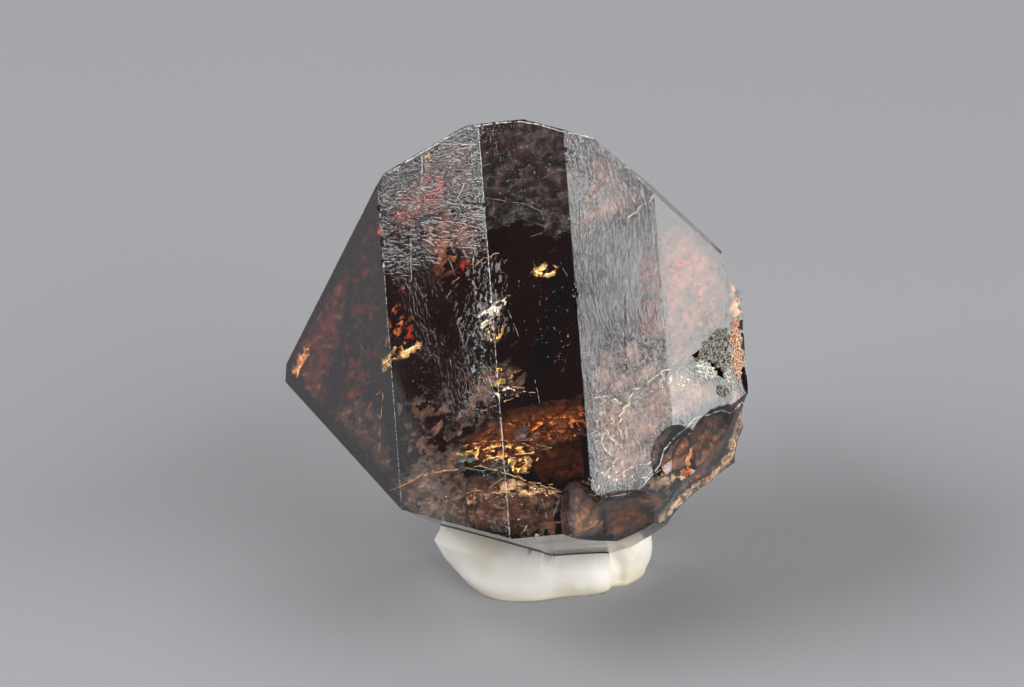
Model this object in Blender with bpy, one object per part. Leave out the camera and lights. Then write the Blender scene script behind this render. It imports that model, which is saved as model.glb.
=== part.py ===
"""A zircon crystal pressed into a lump of mounting putty. Metres, +Z up.

The origin is the middle of the putty's flat base, and the viewer stands at -Y.
The crystal is worked out in its own axes first and then leaned as it sits in the putty:
own -X is the c axis, towards the whole tip on the left, own -Y is the prism face that the viewer
sees, and own +Z is the prism face on top.
"""

import math
import random

import bmesh
import bpy
from mathutils import Matrix, Vector

MM = 0.001

# Zircon is tetragonal: a step along c is 0.905 of a step along either of its two equal axes.
AXIS_RATIO = 0.905

# How the crystal leans in the putty, in degrees, and where its middle is.
LEAN_BACK = 28.7
TOP_TO_LEFT = 4.4
TIP_TURNED_BACK = 10.4
CRYSTAL_MIDDLE = Vector((0.6, -0.9, 10.6)) * MM

# The grown faces: steps towards the viewer, up and to the left, then millimetres from the middle.
# One step alone is a prism face, 3 with 1 a steep pyramid, 1 with 1 the main pyramid.
GROWN_FACES = {
    "prism_front": ((1, 0, 0), 8.82),
    "prism_back": ((-1, 0, 0), 7.0),
    "prism_top": ((0, 1, 0), 8.84),
    "prism_bottom": ((0, -1, 0), 8.83),
    "steep_front_left": ((3, 0, 1), 8.90),
    "steep_back_left": ((-3, 0, 1), 7.7),
    "steep_top_left": ((0, 3, 1), 9.14),
    "steep_bottom_left": ((0, -3, 1), 8.89),
    "steep_front_right": ((3, 0, -1), 8.90),
    "steep_back_right": ((-3, 0, -1), 7.5),
    "steep_top_right": ((0, 3, -1), 8.34),
    "steep_bottom_right": ((0, -3, -1), 8.90),
    "pyramid_front_left": ((1, 0, 1), 9.66),
    "pyramid_back_left": ((-1, 0, 1), 9.60),
    "pyramid_top_left": ((0, 1, 1), 9.65),
    "pyramid_bottom_left": ((0, -1, 1), 9.66),
    "pyramid_front_right": ((1, 0, -1), 8.97),
    "pyramid_top_right": ((0, 1, -1), 7.44),
}

# Breaks across them: the way out of the crystal in its own axes, and millimetres from the middle.
BREAKS = {
    "end_break": ((0.975, 0.222, 0.0), 7.0),
    "corner_break": ((0.718, -0.093, -0.690), 8.39),
    "rear_break": ((0.50, 0.30, -0.81), 8.30),
    "seat_break": ((-0.153, 0.461, -0.874), 9.6),
    "tip_chip": ((-0.985, -0.05, 0.17), 12.5),
    "crown_chip": ((0.287, -0.30, 0.91), 10.73),
}

# Shell-shaped hollows, as glass breaks: the flat they are sunk in, roughly where their middle is,
# their length and width, the turn of the length from level in degrees, and their depth.
HOLLOWS = {
    "shell_upper": ("corner_break", (6.05, -4.8, -5.2), 4.4, 4.2, -45, 0.92),
    "shell_middle": ("corner_break", (5.25, -7.5, -5.55), 3.4, 2.8, -45, 0.95),
    "shell_behind": ("corner_break", (4.7, -0.9, -7.2), 5.0, 3.0, -20, 0.30),
    "shell_lower": ("steep_bottom_right", (2.5, -7.6, -8.4), 10.0, 4.8, 0, 1.32),
    "shell_edge": ("steep_bottom_right", (1.70, -8.6, -8.9), 5.4, 2.5, 0, 2.35),
    "shell_rear": ("rear_break", (4.6, 0.9, -6.4), 6.4, 5.2, 30, 0.36),
    "shell_far": ("rear_break", (3.2, 4.2, -6.6), 7.0, 5.0, -35, 0.65),
    "end_shell_low": ("end_break", (6.6, 2.2, -2.6), 8.4, 6.6, 25, 0.95),
    "end_shell_high": ("end_break", (6.8, 0.4, 2.8), 7.4, 5.6, -20, 0.80),
    "end_shell_front": ("end_break", (7.4, -1.9, -0.8), 4.8, 4.2, 60, 0.50),
    "end_shell_far": ("end_break", (6.0, 5.4, 0.6), 6.8, 5.4, 75, 0.70),
    "end_shell_corner": ("end_break", (7.6, -2.6, -3.6), 4.4, 3.0, 20, 0.28),
    "rim_shell_high": ("end_break", (7.8, -3.2, 2.6), 6.4, 2.9, 6, 0.80),
    "rim_shell_middle": ("end_break", (8.1, -4.5, -0.45), 0.9, 1.2, 90, 0.45),
    "rim_shell_low": ("end_break", (8.1, -4.5, -2.1), 2.8, 1.2, 84, 0.36),
    "seat_shell": ("seat_break", (-1.0, 5.4, -7.9), 9.0, 3.4, 0, 0.4),
}
BOWL_RINGS = 5
BOWL_SEGMENTS = 30

# The pocket beside the end break that a dark mineral once grew in.
POCKET_CORNERS = ((7.55, -5.2, -0.5), (6.2, -6.6, -1.6), (7.35, -5.4, -2.6))
POCKET_DEPTH = 0.35

# Rubbed flats along the grown edges, in millimetres wide.
EDGE_WEAR = 0.07
WORN_EDGES = {
    ("pyramid_front_left", "steep_front_left"): 0.20,
    ("prism_front", "steep_front_left"): 0.15,
    ("prism_front", "steep_front_right"): 0.05,
    ("pyramid_front_right", "steep_front_right"): 0.10,
}

# Small angular nicks along the grown edges. Most come in clusters.
NICKS = 64
NICK_SIZES = (0.05, 0.17)
NICK_SPREAD = 0.9
CLUSTER_CHANCE = 0.6
NICK_SEED = 11

# The gap that keeps the putty off the crystal.
PUTTY_GAP = 0.3

# The putty's outline on the table and at its shoulder: degrees round from +X, and millimetres out.
PUTTY_BASE = (
    (0, 4.1), (30, 4.2), (60, 4.3), (90, 4.3), (120, 4.5), (150, 4.5), (180, 4.4), (208, 4.8),
    (234, 5.2), (256, 4.7), (272, 4.2), (291, 4.15), (306, 4.0), (312, 3.7), (320, 4.1), (342, 4.3),
)
PUTTY_SHOULDER = (
    (0, 4.3), (30, 4.6), (60, 4.8), (90, 5.0), (120, 5.2), (150, 5.5), (180, 5.9), (208, 6.0),
    (234, 5.0), (256, 4.3), (272, 4.0), (291, 4.0), (306, 4.0), (312, 3.7), (320, 4.1), (342, 4.3),
)
PUTTY_HEIGHT = 4.4
PUTTY_RINGS = 12
PUTTY_SEGMENTS = 72
PUTTY_LUMPS = 0.16

CRYSTAL_COLOUR = (0.16, 0.03, 0.012, 1)
PUTTY_COLOUR = (0.72, 0.68, 0.6, 1)


def face_direction(steps):
    """The way out of a grown face, in the crystal's own axes."""
    front, up, left = steps
    return Vector((-left / AXIS_RATIO, -front, up)).normalized()


def crystal_planes(extra=0.0):
    """Every flat of the crystal: name, way out, distance in metres, moved out by extra millimetres."""
    planes = {}
    for name, (steps, distance) in GROWN_FACES.items():
        planes[name] = (face_direction(steps), (distance + extra) * MM)
    for name, (outward, distance) in BREAKS.items():
        planes[name] = (Vector(outward).normalized(), (distance + extra) * MM)
    return planes


def lean():
    """Turns the crystal from its own axes to how it sits in the putty."""
    turn = (
        Matrix.Rotation(math.radians(-LEAN_BACK), 4, "X")
        @ Matrix.Rotation(math.radians(-TOP_TO_LEFT), 4, "Y")
        @ Matrix.Rotation(math.radians(-TIP_TURNED_BACK), 4, "Z")
    )
    return Matrix.Translation(CRYSTAL_MIDDLE) @ turn


def solid_behind(planes):
    """A block with everything outside each plane cut away, and the plane's number on each face."""
    block = bmesh.new()
    bmesh.ops.create_cube(block, size=60 * MM)
    number = block.faces.layers.int.new("plane")
    for index, (outward, distance) in enumerate(planes.values()):
        everything = block.verts[:] + block.edges[:] + block.faces[:]
        cut = bmesh.ops.bisect_plane(
            block,
            geom=everything,
            dist=1e-7,
            plane_co=outward * distance,
            plane_no=outward,
            clear_outer=True,
        )
        rim = [item for item in cut["geom_cut"] if isinstance(item, bmesh.types.BMEdge)]
        if not rim:
            continue
        for face in bmesh.ops.contextual_create(block, geom=rim)["faces"]:
            face[number] = index
    bmesh.ops.recalc_face_normals(block, faces=block.faces)
    return block


def new_object(name, solid, collection=None):
    """An object from a bmesh, in the scene or in the collection of cutters."""
    mesh = bpy.data.meshes.new(name)
    solid.to_mesh(mesh)
    solid.free()
    made = bpy.data.objects.new(name, mesh)
    (collection or bpy.context.scene.collection).objects.link(made)
    if collection:
        made.hide_render = True
        made.display_type = "WIRE"
    return made


def material(name, colour, roughness):
    """A plain finish for one piece."""
    finish = bpy.data.materials.new(name)
    finish.use_nodes = True
    shader = finish.node_tree.nodes["Principled BSDF"]
    shader.inputs["Base Color"].default_value = colour
    shader.inputs["Roughness"].default_value = roughness
    shader.inputs["Metallic"].default_value = 0.0
    return finish


def wear_of(first, second):
    """How wide the rubbed flat between two faces is, in millimetres."""
    if first not in GROWN_FACES or second not in GROWN_FACES:
        return 0.0
    return WORN_EDGES.get((first, second), WORN_EDGES.get((second, first), EDGE_WEAR))


def hollow(name, flat_name, middle, length, width, turn, depth, planes, collection):
    """A cutter shaped like a spoon's bowl, its mouth in the flat and its rounded side inwards."""
    outward, distance = planes[flat_name]
    middle = Vector(middle) * MM
    middle -= outward * (outward.dot(middle) - distance)
    level = Vector((0, 0, 1)).cross(outward).normalized()
    frame = Matrix((level, outward.cross(level), outward)).transposed().to_4x4()
    place = Matrix.Translation(middle) @ frame @ Matrix.Rotation(math.radians(turn), 4, "Z")

    mouth_angle = math.radians(60)
    widest = math.radians(82)
    loops = []
    for ring in range(1, BOWL_RINGS + 1):
        angle = widest * ring / BOWL_RINGS
        across = width / 2 * math.sin(angle) / math.sin(mouth_angle)
        height = depth * (math.cos(mouth_angle) - math.cos(angle)) / (1 - math.cos(mouth_angle))
        loops.append((across, height))
    loops.append((loops[-1][0], loops[-1][1] + 12))
    bowl = bmesh.new()
    pole = bowl.verts.new((0, 0, -depth * MM))
    rows = []
    for across, height in loops:
        row = []
        for step in range(BOWL_SEGMENTS):
            round_angle = math.tau * step / BOWL_SEGMENTS
            x = across * math.cos(round_angle) * length / width
            y = across * math.sin(round_angle)
            row.append(bowl.verts.new(Vector((x, y, height)) * MM))
        rows.append(row)
    for step in range(BOWL_SEGMENTS):
        after = (step + 1) % BOWL_SEGMENTS
        bowl.faces.new((pole, rows[0][after], rows[0][step]))
        for lower, upper in zip(rows, rows[1:]):
            bowl.faces.new((lower[step], lower[after], upper[after], upper[step]))
    bowl.faces.new(rows[-1])
    bmesh.ops.recalc_face_normals(bowl, faces=bowl.faces)
    bowl.transform(place)
    return new_object(name, bowl, collection)


def pocket(planes, collection):
    """A three-cornered cutter sunk into the right-hand pyramid face."""
    outward, distance = planes["pyramid_front_right"]
    cutter = bmesh.new()
    rims = []
    for height in (-POCKET_DEPTH, 1.0):
        rim = []
        for corner in POCKET_CORNERS:
            point = Vector(corner) * MM
            point -= outward * (outward.dot(point) - distance - height * MM)
            rim.append(cutter.verts.new(point))
        rims.append(rim)
    cutter.faces.new(rims[0])
    cutter.faces.new(rims[1])
    for step in range(3):
        after = (step + 1) % 3
        cutter.faces.new((rims[0][step], rims[0][after], rims[1][after], rims[1][step]))
    bmesh.ops.recalc_face_normals(cutter, faces=cutter.faces)
    return new_object("mineral_pocket", cutter, collection)


def nicks(edges, collection):
    """One cutter of many small angular lumps, spread and clustered along the grown edges."""
    chance = random.Random(NICK_SEED)
    cutter = bmesh.new()
    lengths = [(end - start).length for start, end in edges]
    total = sum(lengths)
    place = 0.0
    for _ in range(NICKS):
        if chance.random() < CLUSTER_CHANCE:
            place = (place + chance.uniform(0.2, 1.0) * NICK_SPREAD * MM) % total
        else:
            place = chance.uniform(0, total)
        along = place
        for (start, end), length in zip(edges, lengths):
            if along <= length:
                break
            along -= length
        size = chance.uniform(*NICK_SIZES) * MM
        middle = start.lerp(end, min(max(along / length, 0.03), 0.97))
        middle += middle.normalized() * size * 0.5
        squash = Matrix.Diagonal([chance.uniform(0.6, 1.8) for _ in range(3)]).to_4x4()
        axis = Vector([chance.uniform(-1, 1) for _ in range(3)]).normalized()
        spin = Matrix.Rotation(chance.uniform(0, math.tau), 4, axis)
        bmesh.ops.create_icosphere(
            cutter,
            subdivisions=1,
            radius=size,
            matrix=Matrix.Translation(middle) @ spin @ squash,
        )
    return new_object("nicks", cutter, collection)


def cut_by(piece, collection, name):
    """Takes every cutter in the collection away from the piece."""
    boolean = piece.modifiers.new(name, "BOOLEAN")
    boolean.operation = "DIFFERENCE"
    boolean.solver = "EXACT"
    boolean.operand_type = "COLLECTION"
    boolean.collection = collection


def cutter_collection(name):
    """A collection for cutters, left out of renders."""
    made = bpy.data.collections.new(name)
    made.hide_render = True
    bpy.context.scene.collection.children.link(made)
    return made


def make_crystal():
    """The one solid of the crystal: grown faces, rubbed edges, breaks, hollows and nicks."""
    planes = crystal_planes()
    names = list(planes)
    solid = solid_behind(planes)
    number = solid.faces.layers.int["plane"]
    weight = solid.edges.layers.float.new("bevel_weight_edge")
    widest = max(WORN_EDGES.values())
    grown_edges = []
    for edge in solid.edges:
        wear = wear_of(*(names[face[number]] for face in edge.link_faces))
        edge[weight] = wear / widest
        if wear > 0:
            grown_edges.append((edge.verts[0].co.copy(), edge.verts[1].co.copy()))
    crystal = new_object("zircon_crystal", solid)
    crystal.data.materials.append(material("zircon", CRYSTAL_COLOUR, 0.12))
    crystal.matrix_world = lean()

    rubbed = crystal.modifiers.new("rubbed_edges", "BEVEL")
    rubbed.limit_method = "WEIGHT"
    rubbed.offset_type = "WIDTH"
    rubbed.width = widest * MM
    rubbed.segments = 1

    breakage = cutter_collection("breakage")
    for name, (flat_name, middle, length, width, turn, depth) in HOLLOWS.items():
        hollow(name, flat_name, middle, length, width, turn, depth, planes, breakage)
    pocket(planes, breakage)
    nicks(grown_edges, breakage)
    for cutter in breakage.objects:
        cutter.matrix_world = lean()
    cut_by(crystal, breakage, "breakage")
    return crystal


def outline_at(points, angle):
    """How far out a closed outline is at an angle in degrees, on a smooth curve through its points."""
    count = len(points)
    for index in range(count):
        start, end = points[index], points[(index + 1) % count]
        span = (end[0] - start[0]) % 360
        share = ((angle - start[0]) % 360) / span
        if share < 1:
            before, after = points[index - 1], points[(index + 2) % count]
            slope_in = (end[1] - before[1]) / 2
            slope_out = (after[1] - start[1]) / 2
            rise = end[1] - start[1]
            return (
                start[1]
                + share * slope_in
                + share**2 * (3 * rise - 2 * slope_in - slope_out)
                + share**3 * (slope_in + slope_out - 2 * rise)
            )
    raise ValueError(f"no stretch of the outline holds {angle} degrees")


def make_putty():
    """The pressed lump: flat under, bulging at the shoulder, cupped where the crystal sits."""
    lump = bmesh.new()
    rows = []
    for ring in range(PUTTY_RINGS):
        share = ring / PUTTY_RINGS
        height = PUTTY_HEIGHT * math.sin(share * math.pi / 2) ** 1.2
        level = height / PUTTY_HEIGHT
        bulge = min(level / 0.5, 1.0)
        shrink = (1 - level**4) ** 0.5
        tuck = 1 - 0.05 * max(0, 1 - level / 0.08)
        row = []
        for step in range(PUTTY_SEGMENTS):
            angle = 360 * step / PUTTY_SEGMENTS
            base, shoulder = outline_at(PUTTY_BASE, angle), outline_at(PUTTY_SHOULDER, angle)
            out = (base + (shoulder - base) * bulge) * shrink * tuck
            turn = math.radians(angle)
            out += PUTTY_LUMPS * math.sin(3 * turn + 5 * level) * math.sin(2 * turn + 9 * level + 1)
            row.append(lump.verts.new(Vector((out * math.cos(turn), out * math.sin(turn), height)) * MM))
        rows.append(row)
    crown = lump.verts.new((0, 0, PUTTY_HEIGHT * MM))
    for step in range(PUTTY_SEGMENTS):
        after = (step + 1) % PUTTY_SEGMENTS
        for lower, upper in zip(rows, rows[1:]):
            lump.faces.new((lower[step], lower[after], upper[after], upper[step]))
        lump.faces.new((rows[-1][step], rows[-1][after], crown))
    lump.faces.new(rows[0])
    bmesh.ops.recalc_face_normals(lump, faces=lump.faces)
    putty = new_object("putty_lump", lump)
    putty.data.materials.append(material("putty", PUTTY_COLOUR, 0.6))

    seat = cutter_collection("seat")
    cup = new_object("crystal_seat", solid_behind(crystal_planes(PUTTY_GAP)), seat)
    cup.matrix_world = lean()
    cut_by(putty, seat, "seat")
    return putty


def main():
    for old in list(bpy.data.objects):
        bpy.data.objects.remove(old)
    make_crystal()
    make_putty()


main()
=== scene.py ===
"""A red-brown zircon crystal pressed into a lump of mounting putty.

The crystal is one see-through body: clear zircon stained red-brown all through, so light is
coloured by how far it travels inside. Its healed cracks, needles and specks are separate pieces
sealed in it, and scratches and foreign grains lie on it. Metres, +Z up, the viewer at -Y.
"""

import math

import bmesh
import bpy
import numpy as np
from mathutils import Matrix, Vector, noise
from mathutils.bvhtree import BVHTree


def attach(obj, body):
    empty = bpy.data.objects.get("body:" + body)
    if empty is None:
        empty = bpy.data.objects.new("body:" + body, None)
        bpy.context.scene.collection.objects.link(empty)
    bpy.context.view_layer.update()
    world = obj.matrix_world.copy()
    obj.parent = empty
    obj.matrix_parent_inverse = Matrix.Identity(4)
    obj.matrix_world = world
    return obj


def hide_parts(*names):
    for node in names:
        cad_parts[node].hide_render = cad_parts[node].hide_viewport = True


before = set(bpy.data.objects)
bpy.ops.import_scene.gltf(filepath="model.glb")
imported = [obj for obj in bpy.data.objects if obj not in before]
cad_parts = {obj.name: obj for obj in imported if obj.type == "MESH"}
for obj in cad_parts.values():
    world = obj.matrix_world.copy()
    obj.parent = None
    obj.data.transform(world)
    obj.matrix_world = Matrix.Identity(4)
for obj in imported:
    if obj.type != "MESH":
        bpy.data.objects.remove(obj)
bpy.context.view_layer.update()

MM = 0.001

# The photo's frame and the camera that it was taken with, in pixels, degrees and millimetres.
FRAME_WIDE, FRAME_HIGH = 1024, 687
PIXELS_PER_MM = 23.0
CAMERA_ABOVE = 22.0
CAMERA_AWAY = 260.0
SENSOR = 36.0
# The frame's middle, seen from the crystal's middle: right and up.
AIM_RIGHT, AIM_UP = -2.6, 0.18

# Soft lights: degrees to the right of the camera, degrees up, metres away, width, height, brightness.
LIGHTS = {
    "softbox_right": (52, 28, 0.6, 0.85, 0.50, 3.8),
    "softbox_left": (-72, 41, 0.6, 0.52, 0.38, 5.5),
    "softbox_behind": (165, 55, 0.8, 0.60, 0.50, 1.6),
}

# Zircon is tetragonal: a step along c is 0.905 of a step along either of its two equal axes.
AXIS_RATIO = 0.905
# It bends light strongly, which is where its fire and its bright gloss come from.
ZIRCON_IOR = 1.95
# Its stain lets red through best and blue least, so thin parts glow and deep parts look black.
STAIN_COLOUR, STAIN_DENSITY = (0.735, 0.357, 0.0, 1), 840.0

# How the crystal leans in the putty, in degrees, and where its middle is.
LEAN_BACK = 28.7
TOP_TO_LEFT = 4.4
TIP_TURNED_BACK = 10.4
CRYSTAL_MIDDLE = Vector((0.6, -0.9, 10.6)) * MM

# The grown faces: steps towards the viewer, up and to the left, then millimetres from the middle.
GROWN_FACES = {
    "prism_front": ((1, 0, 0), 8.82),
    "prism_back": ((-1, 0, 0), 7.0),
    "prism_top": ((0, 1, 0), 8.84),
    "prism_bottom": ((0, -1, 0), 8.83),
    "steep_front_left": ((3, 0, 1), 8.90),
    "steep_back_left": ((-3, 0, 1), 7.7),
    "steep_top_left": ((0, 3, 1), 9.14),
    "steep_bottom_left": ((0, -3, 1), 8.89),
    "steep_front_right": ((3, 0, -1), 8.90),
    "steep_back_right": ((-3, 0, -1), 7.5),
    "steep_top_right": ((0, 3, -1), 8.34),
    "steep_bottom_right": ((0, -3, -1), 8.90),
    "pyramid_front_left": ((1, 0, 1), 9.66),
    "pyramid_back_left": ((-1, 0, 1), 9.60),
    "pyramid_top_left": ((0, 1, 1), 9.65),
    "pyramid_bottom_left": ((0, -1, 1), 9.66),
    "pyramid_front_right": ((1, 0, -1), 8.97),
    "pyramid_top_right": ((0, 1, -1), 7.44),
}
# Breaks across them: the way out in the crystal's own axes, and millimetres from the middle.
BREAKS = {
    "end_break": ((0.975, 0.222, 0.0), 7.0),
    "corner_break": ((0.718, -0.093, -0.690), 8.39),
    "rear_break": ((0.50, 0.30, -0.81), 8.30),
    "seat_break": ((-0.153, 0.461, -0.874), 9.6),
    "tip_chip": ((-0.985, -0.05, 0.17), 12.5),
    "crown_chip": ((0.287, -0.30, 0.91), 10.73),
}


def linear(hex_colour, alpha=1.0):
    """A colour written as sRGB hex, as the shader wants it."""
    parts = [int(hex_colour[i : i + 2], 16) / 255 for i in (0, 2, 4)]
    return (*(v / 12.92 if v <= 0.04045 else ((v + 0.055) / 1.055) ** 2.4 for v in parts), alpha)


def feed(tree, node, inputs):
    """Sets or links a node's inputs. A node given as a value is linked by its first output in use."""
    for name, value in inputs.items():
        if isinstance(value, bpy.types.Node):
            value = next(socket for socket in value.outputs if socket.enabled)
        if isinstance(value, bpy.types.NodeSocket):
            tree.links.new(value, node.inputs[name])
        else:
            node.inputs[name].default_value = value


def add(tree, kind, inputs=None, **settings):
    """Adds a node with its settings, then sets or links its inputs."""
    made = tree.nodes.new(kind)
    for name, value in settings.items():
        setattr(made, name, value)
    feed(tree, made, inputs or {})
    return made


# How a range is drawn out: gently at both ends.
EASED = {"interpolation_type": "SMOOTHSTEP"}


def layered(tree, start, *layers):
    """Adds layers to a value. Each is a mark, its share over the surface and its full strength."""
    for mark, share, strength in layers:
        marked = add(tree, "ShaderNodeMath", {0: mark, 1: share}, operation="MULTIPLY")
        start = add(tree, "ShaderNodeMath", {0: marked, 1: strength, 2: start}, operation="MULTIPLY_ADD")
    return start


# Where things are

def lean():
    """Turns the crystal from its own axes to how it sits in the putty."""
    turn = (
        Matrix.Rotation(math.radians(-LEAN_BACK), 4, "X")
        @ Matrix.Rotation(math.radians(-TOP_TO_LEFT), 4, "Y")
        @ Matrix.Rotation(math.radians(-TIP_TURNED_BACK), 4, "Z")
    )
    return Matrix.Translation(CRYSTAL_MIDDLE) @ turn


LEAN = lean()
UNLEAN = LEAN.inverted()
TO_OWN = np.array(UNLEAN.to_3x3())


def own_planes():
    """Every flat of the crystal in its own axes: name, way out, distance in metres."""
    planes = {}
    for name, ((front, up, left), distance) in GROWN_FACES.items():
        planes[name] = (Vector((-left / AXIS_RATIO, -front, up)).normalized(), distance * MM)
    for name, (outward, distance) in BREAKS.items():
        planes[name] = (Vector(outward).normalized(), distance * MM)
    return planes


PLANES = own_planes()

CAMERA_TILT = math.radians(CAMERA_ABOVE)
VIEW_RIGHT = Vector((1, 0, 0))
VIEW_UP = Vector((0, math.sin(CAMERA_TILT), math.cos(CAMERA_TILT)))
VIEW_AWAY = Vector((0, math.cos(CAMERA_TILT), -math.sin(CAMERA_TILT)))
AIM = CRYSTAL_MIDDLE + (VIEW_RIGHT * AIM_RIGHT + VIEW_UP * AIM_UP) * MM
EYE = AIM - VIEW_AWAY * CAMERA_AWAY * MM


def seen_from(azimuth, height=0.0):
    """Turns the viewer round the crystal: degrees to the right, then degrees higher."""
    turn = Matrix.Rotation(math.radians(azimuth), 4, "Z") @ Matrix.Rotation(math.radians(-height), 4, "X")
    return Matrix.Translation(CRYSTAL_MIDDLE) @ turn @ Matrix.Translation(-CRYSTAL_MIDDLE)


FRONT = seen_from(0)


def way_to(azimuth, height):
    """The way towards a light, from degrees to the right of the camera and degrees up."""
    turn, rise = math.radians(azimuth), math.radians(height)
    return Vector((math.sin(turn) * math.cos(rise), -math.cos(turn) * math.cos(rise), math.sin(rise)))


def bent_inward(along, outward):
    """The way that light takes inside, for many rays in rows, each meeting its own flat."""
    bend = 1 / ZIRCON_IOR
    facing = -np.sum(outward * along, axis=1)
    sink = bend * facing - np.sqrt(1 - bend**2 * (1 - facing**2))
    inward = along * bend + outward * sink[:, None]
    return inward / np.linalg.norm(inward, axis=1)[:, None]


def lines_of_sight(x, y, side=FRONT, surface=None):
    """Where the lines of sight through some pixels enter the crystal, and their way inside.

    All in the crystal's own axes, with the way out of the crystal there. With the real surface
    given, a line of sight enters there, as in a hollow sunk in a flat.
    """
    turn = np.array(side.to_3x3())
    start = np.array(UNLEAN @ side @ EYE)
    right = (x - FRAME_WIDE / 2) / PIXELS_PER_MM / CAMERA_AWAY
    up = (FRAME_HIGH / 2 - y) / PIXELS_PER_MM / CAMERA_AWAY
    along = np.array(VIEW_AWAY) + right[:, None] * np.array(VIEW_RIGHT) + up[:, None] * np.array(VIEW_UP)
    along /= np.linalg.norm(along, axis=1)[:, None]
    along = along @ turn.T @ TO_OWN.T
    reach = np.full(len(x), -np.inf)
    outward = np.zeros((len(x), 3))
    for normal, distance in PLANES.values():
        normal = np.array(normal)
        facing = along @ normal
        with np.errstate(divide="ignore", invalid="ignore"):
            met = np.where(facing < 0, (distance - normal @ start) / facing, -np.inf)
        later = met > reach
        reach[later] = met[later]
        outward[later] = normal
    entry = start + along * reach[:, None]
    if surface:
        ahead = along @ TO_OWN
        for number, point in enumerate(into_scene(entry)):
            hit = surface.ray_cast(Vector(point - ahead[number] * MM), Vector(ahead[number]))
            if hit[0] and hit[1].dot(Vector(ahead[number])) < 0:
                entry[number] = UNLEAN @ hit[0]
                outward[number] = TO_OWN @ np.array(hit[1])
    return entry, bent_inward(along, outward), outward


def into_scene(points):
    """Points from the crystal's own axes to the scene's."""
    return points @ np.array(LEAN.to_3x3()).T + np.array(LEAN.translation)


def seen_at(x, y, depth, surface=None):
    """The points in the scene that show at some pixels, at a depth in millimetres."""
    entry, inward, _ = lines_of_sight(x, y, FRONT, surface)
    return into_scene(entry + inward * depth * MM)


GRAZING = 0.08  # the cosine at which a light only grazes a flat, and doesn't reach the flakes below


def facing_light(inward, outward, light):
    """The way that thin flakes under the surface face, to mirror a light towards the viewer."""
    arriving = np.tile(-(np.array(way_to(*LIGHTS[light][:2])) @ TO_OWN.T), (len(inward), 1))
    lit = np.sum(arriving * outward, axis=1) < -GRAZING
    facing = outward.copy()
    facing[lit] = -inward[lit] - bent_inward(arriving[lit], outward[lit])
    return facing / np.linalg.norm(facing, axis=1)[:, None]


def new_piece(name, mesh_or_bmesh, *materials):
    """An object in the scene, from a mesh or a bmesh."""
    if isinstance(mesh_or_bmesh, bmesh.types.BMesh):
        mesh = bpy.data.meshes.new(name)
        mesh_or_bmesh.to_mesh(mesh)
        mesh_or_bmesh.free()
    else:
        mesh = mesh_or_bmesh
    made = bpy.data.objects.new(name, mesh)
    bpy.context.scene.collection.objects.link(made)
    mesh.materials.clear()
    for finish in materials:
        mesh.materials.append(finish)
    return made


def part_of_crystal(piece):
    """Says that a piece is sealed in the crystal or lies on it."""
    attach(piece, "root")


def seed_of(name):
    """A fixed number for a name, so that each crack has its own wrinkles."""
    return sum(ord(letter) * (place + 3) for place, letter in enumerate(name)) % 997 * 0.37


def cloudy(x, y, scale, seed, octaves=4, smooth=1.0):
    """Smooth noise over many points, about 0 in the middle."""
    made = [
        noise.fractal(Vector((a / scale, b / scale, seed)), smooth, 2.0, octaves)
        for a, b in zip(np.ravel(x), np.ravel(y))
    ]
    return np.array(made).reshape(np.shape(x))


# Zircon

# What has been done to each face of the crystal, from 0 to 1.
MARKS = ("ridged", "furrowed", "rubbed", "broken")


def own_millimetres(tree):
    """Coordinates along the crystal's own axes, in millimetres from its middle."""
    place = add(tree, "ShaderNodeTexCoord")
    settings = {
        "Vector": place.outputs["Object"],
        "Location": UNLEAN.translation / MM,
        "Rotation": UNLEAN.to_euler(),
        "Scale": (1 / MM, 1 / MM, 1 / MM),
    }
    return add(tree, "ShaderNodeMapping", settings).outputs["Vector"]


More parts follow.
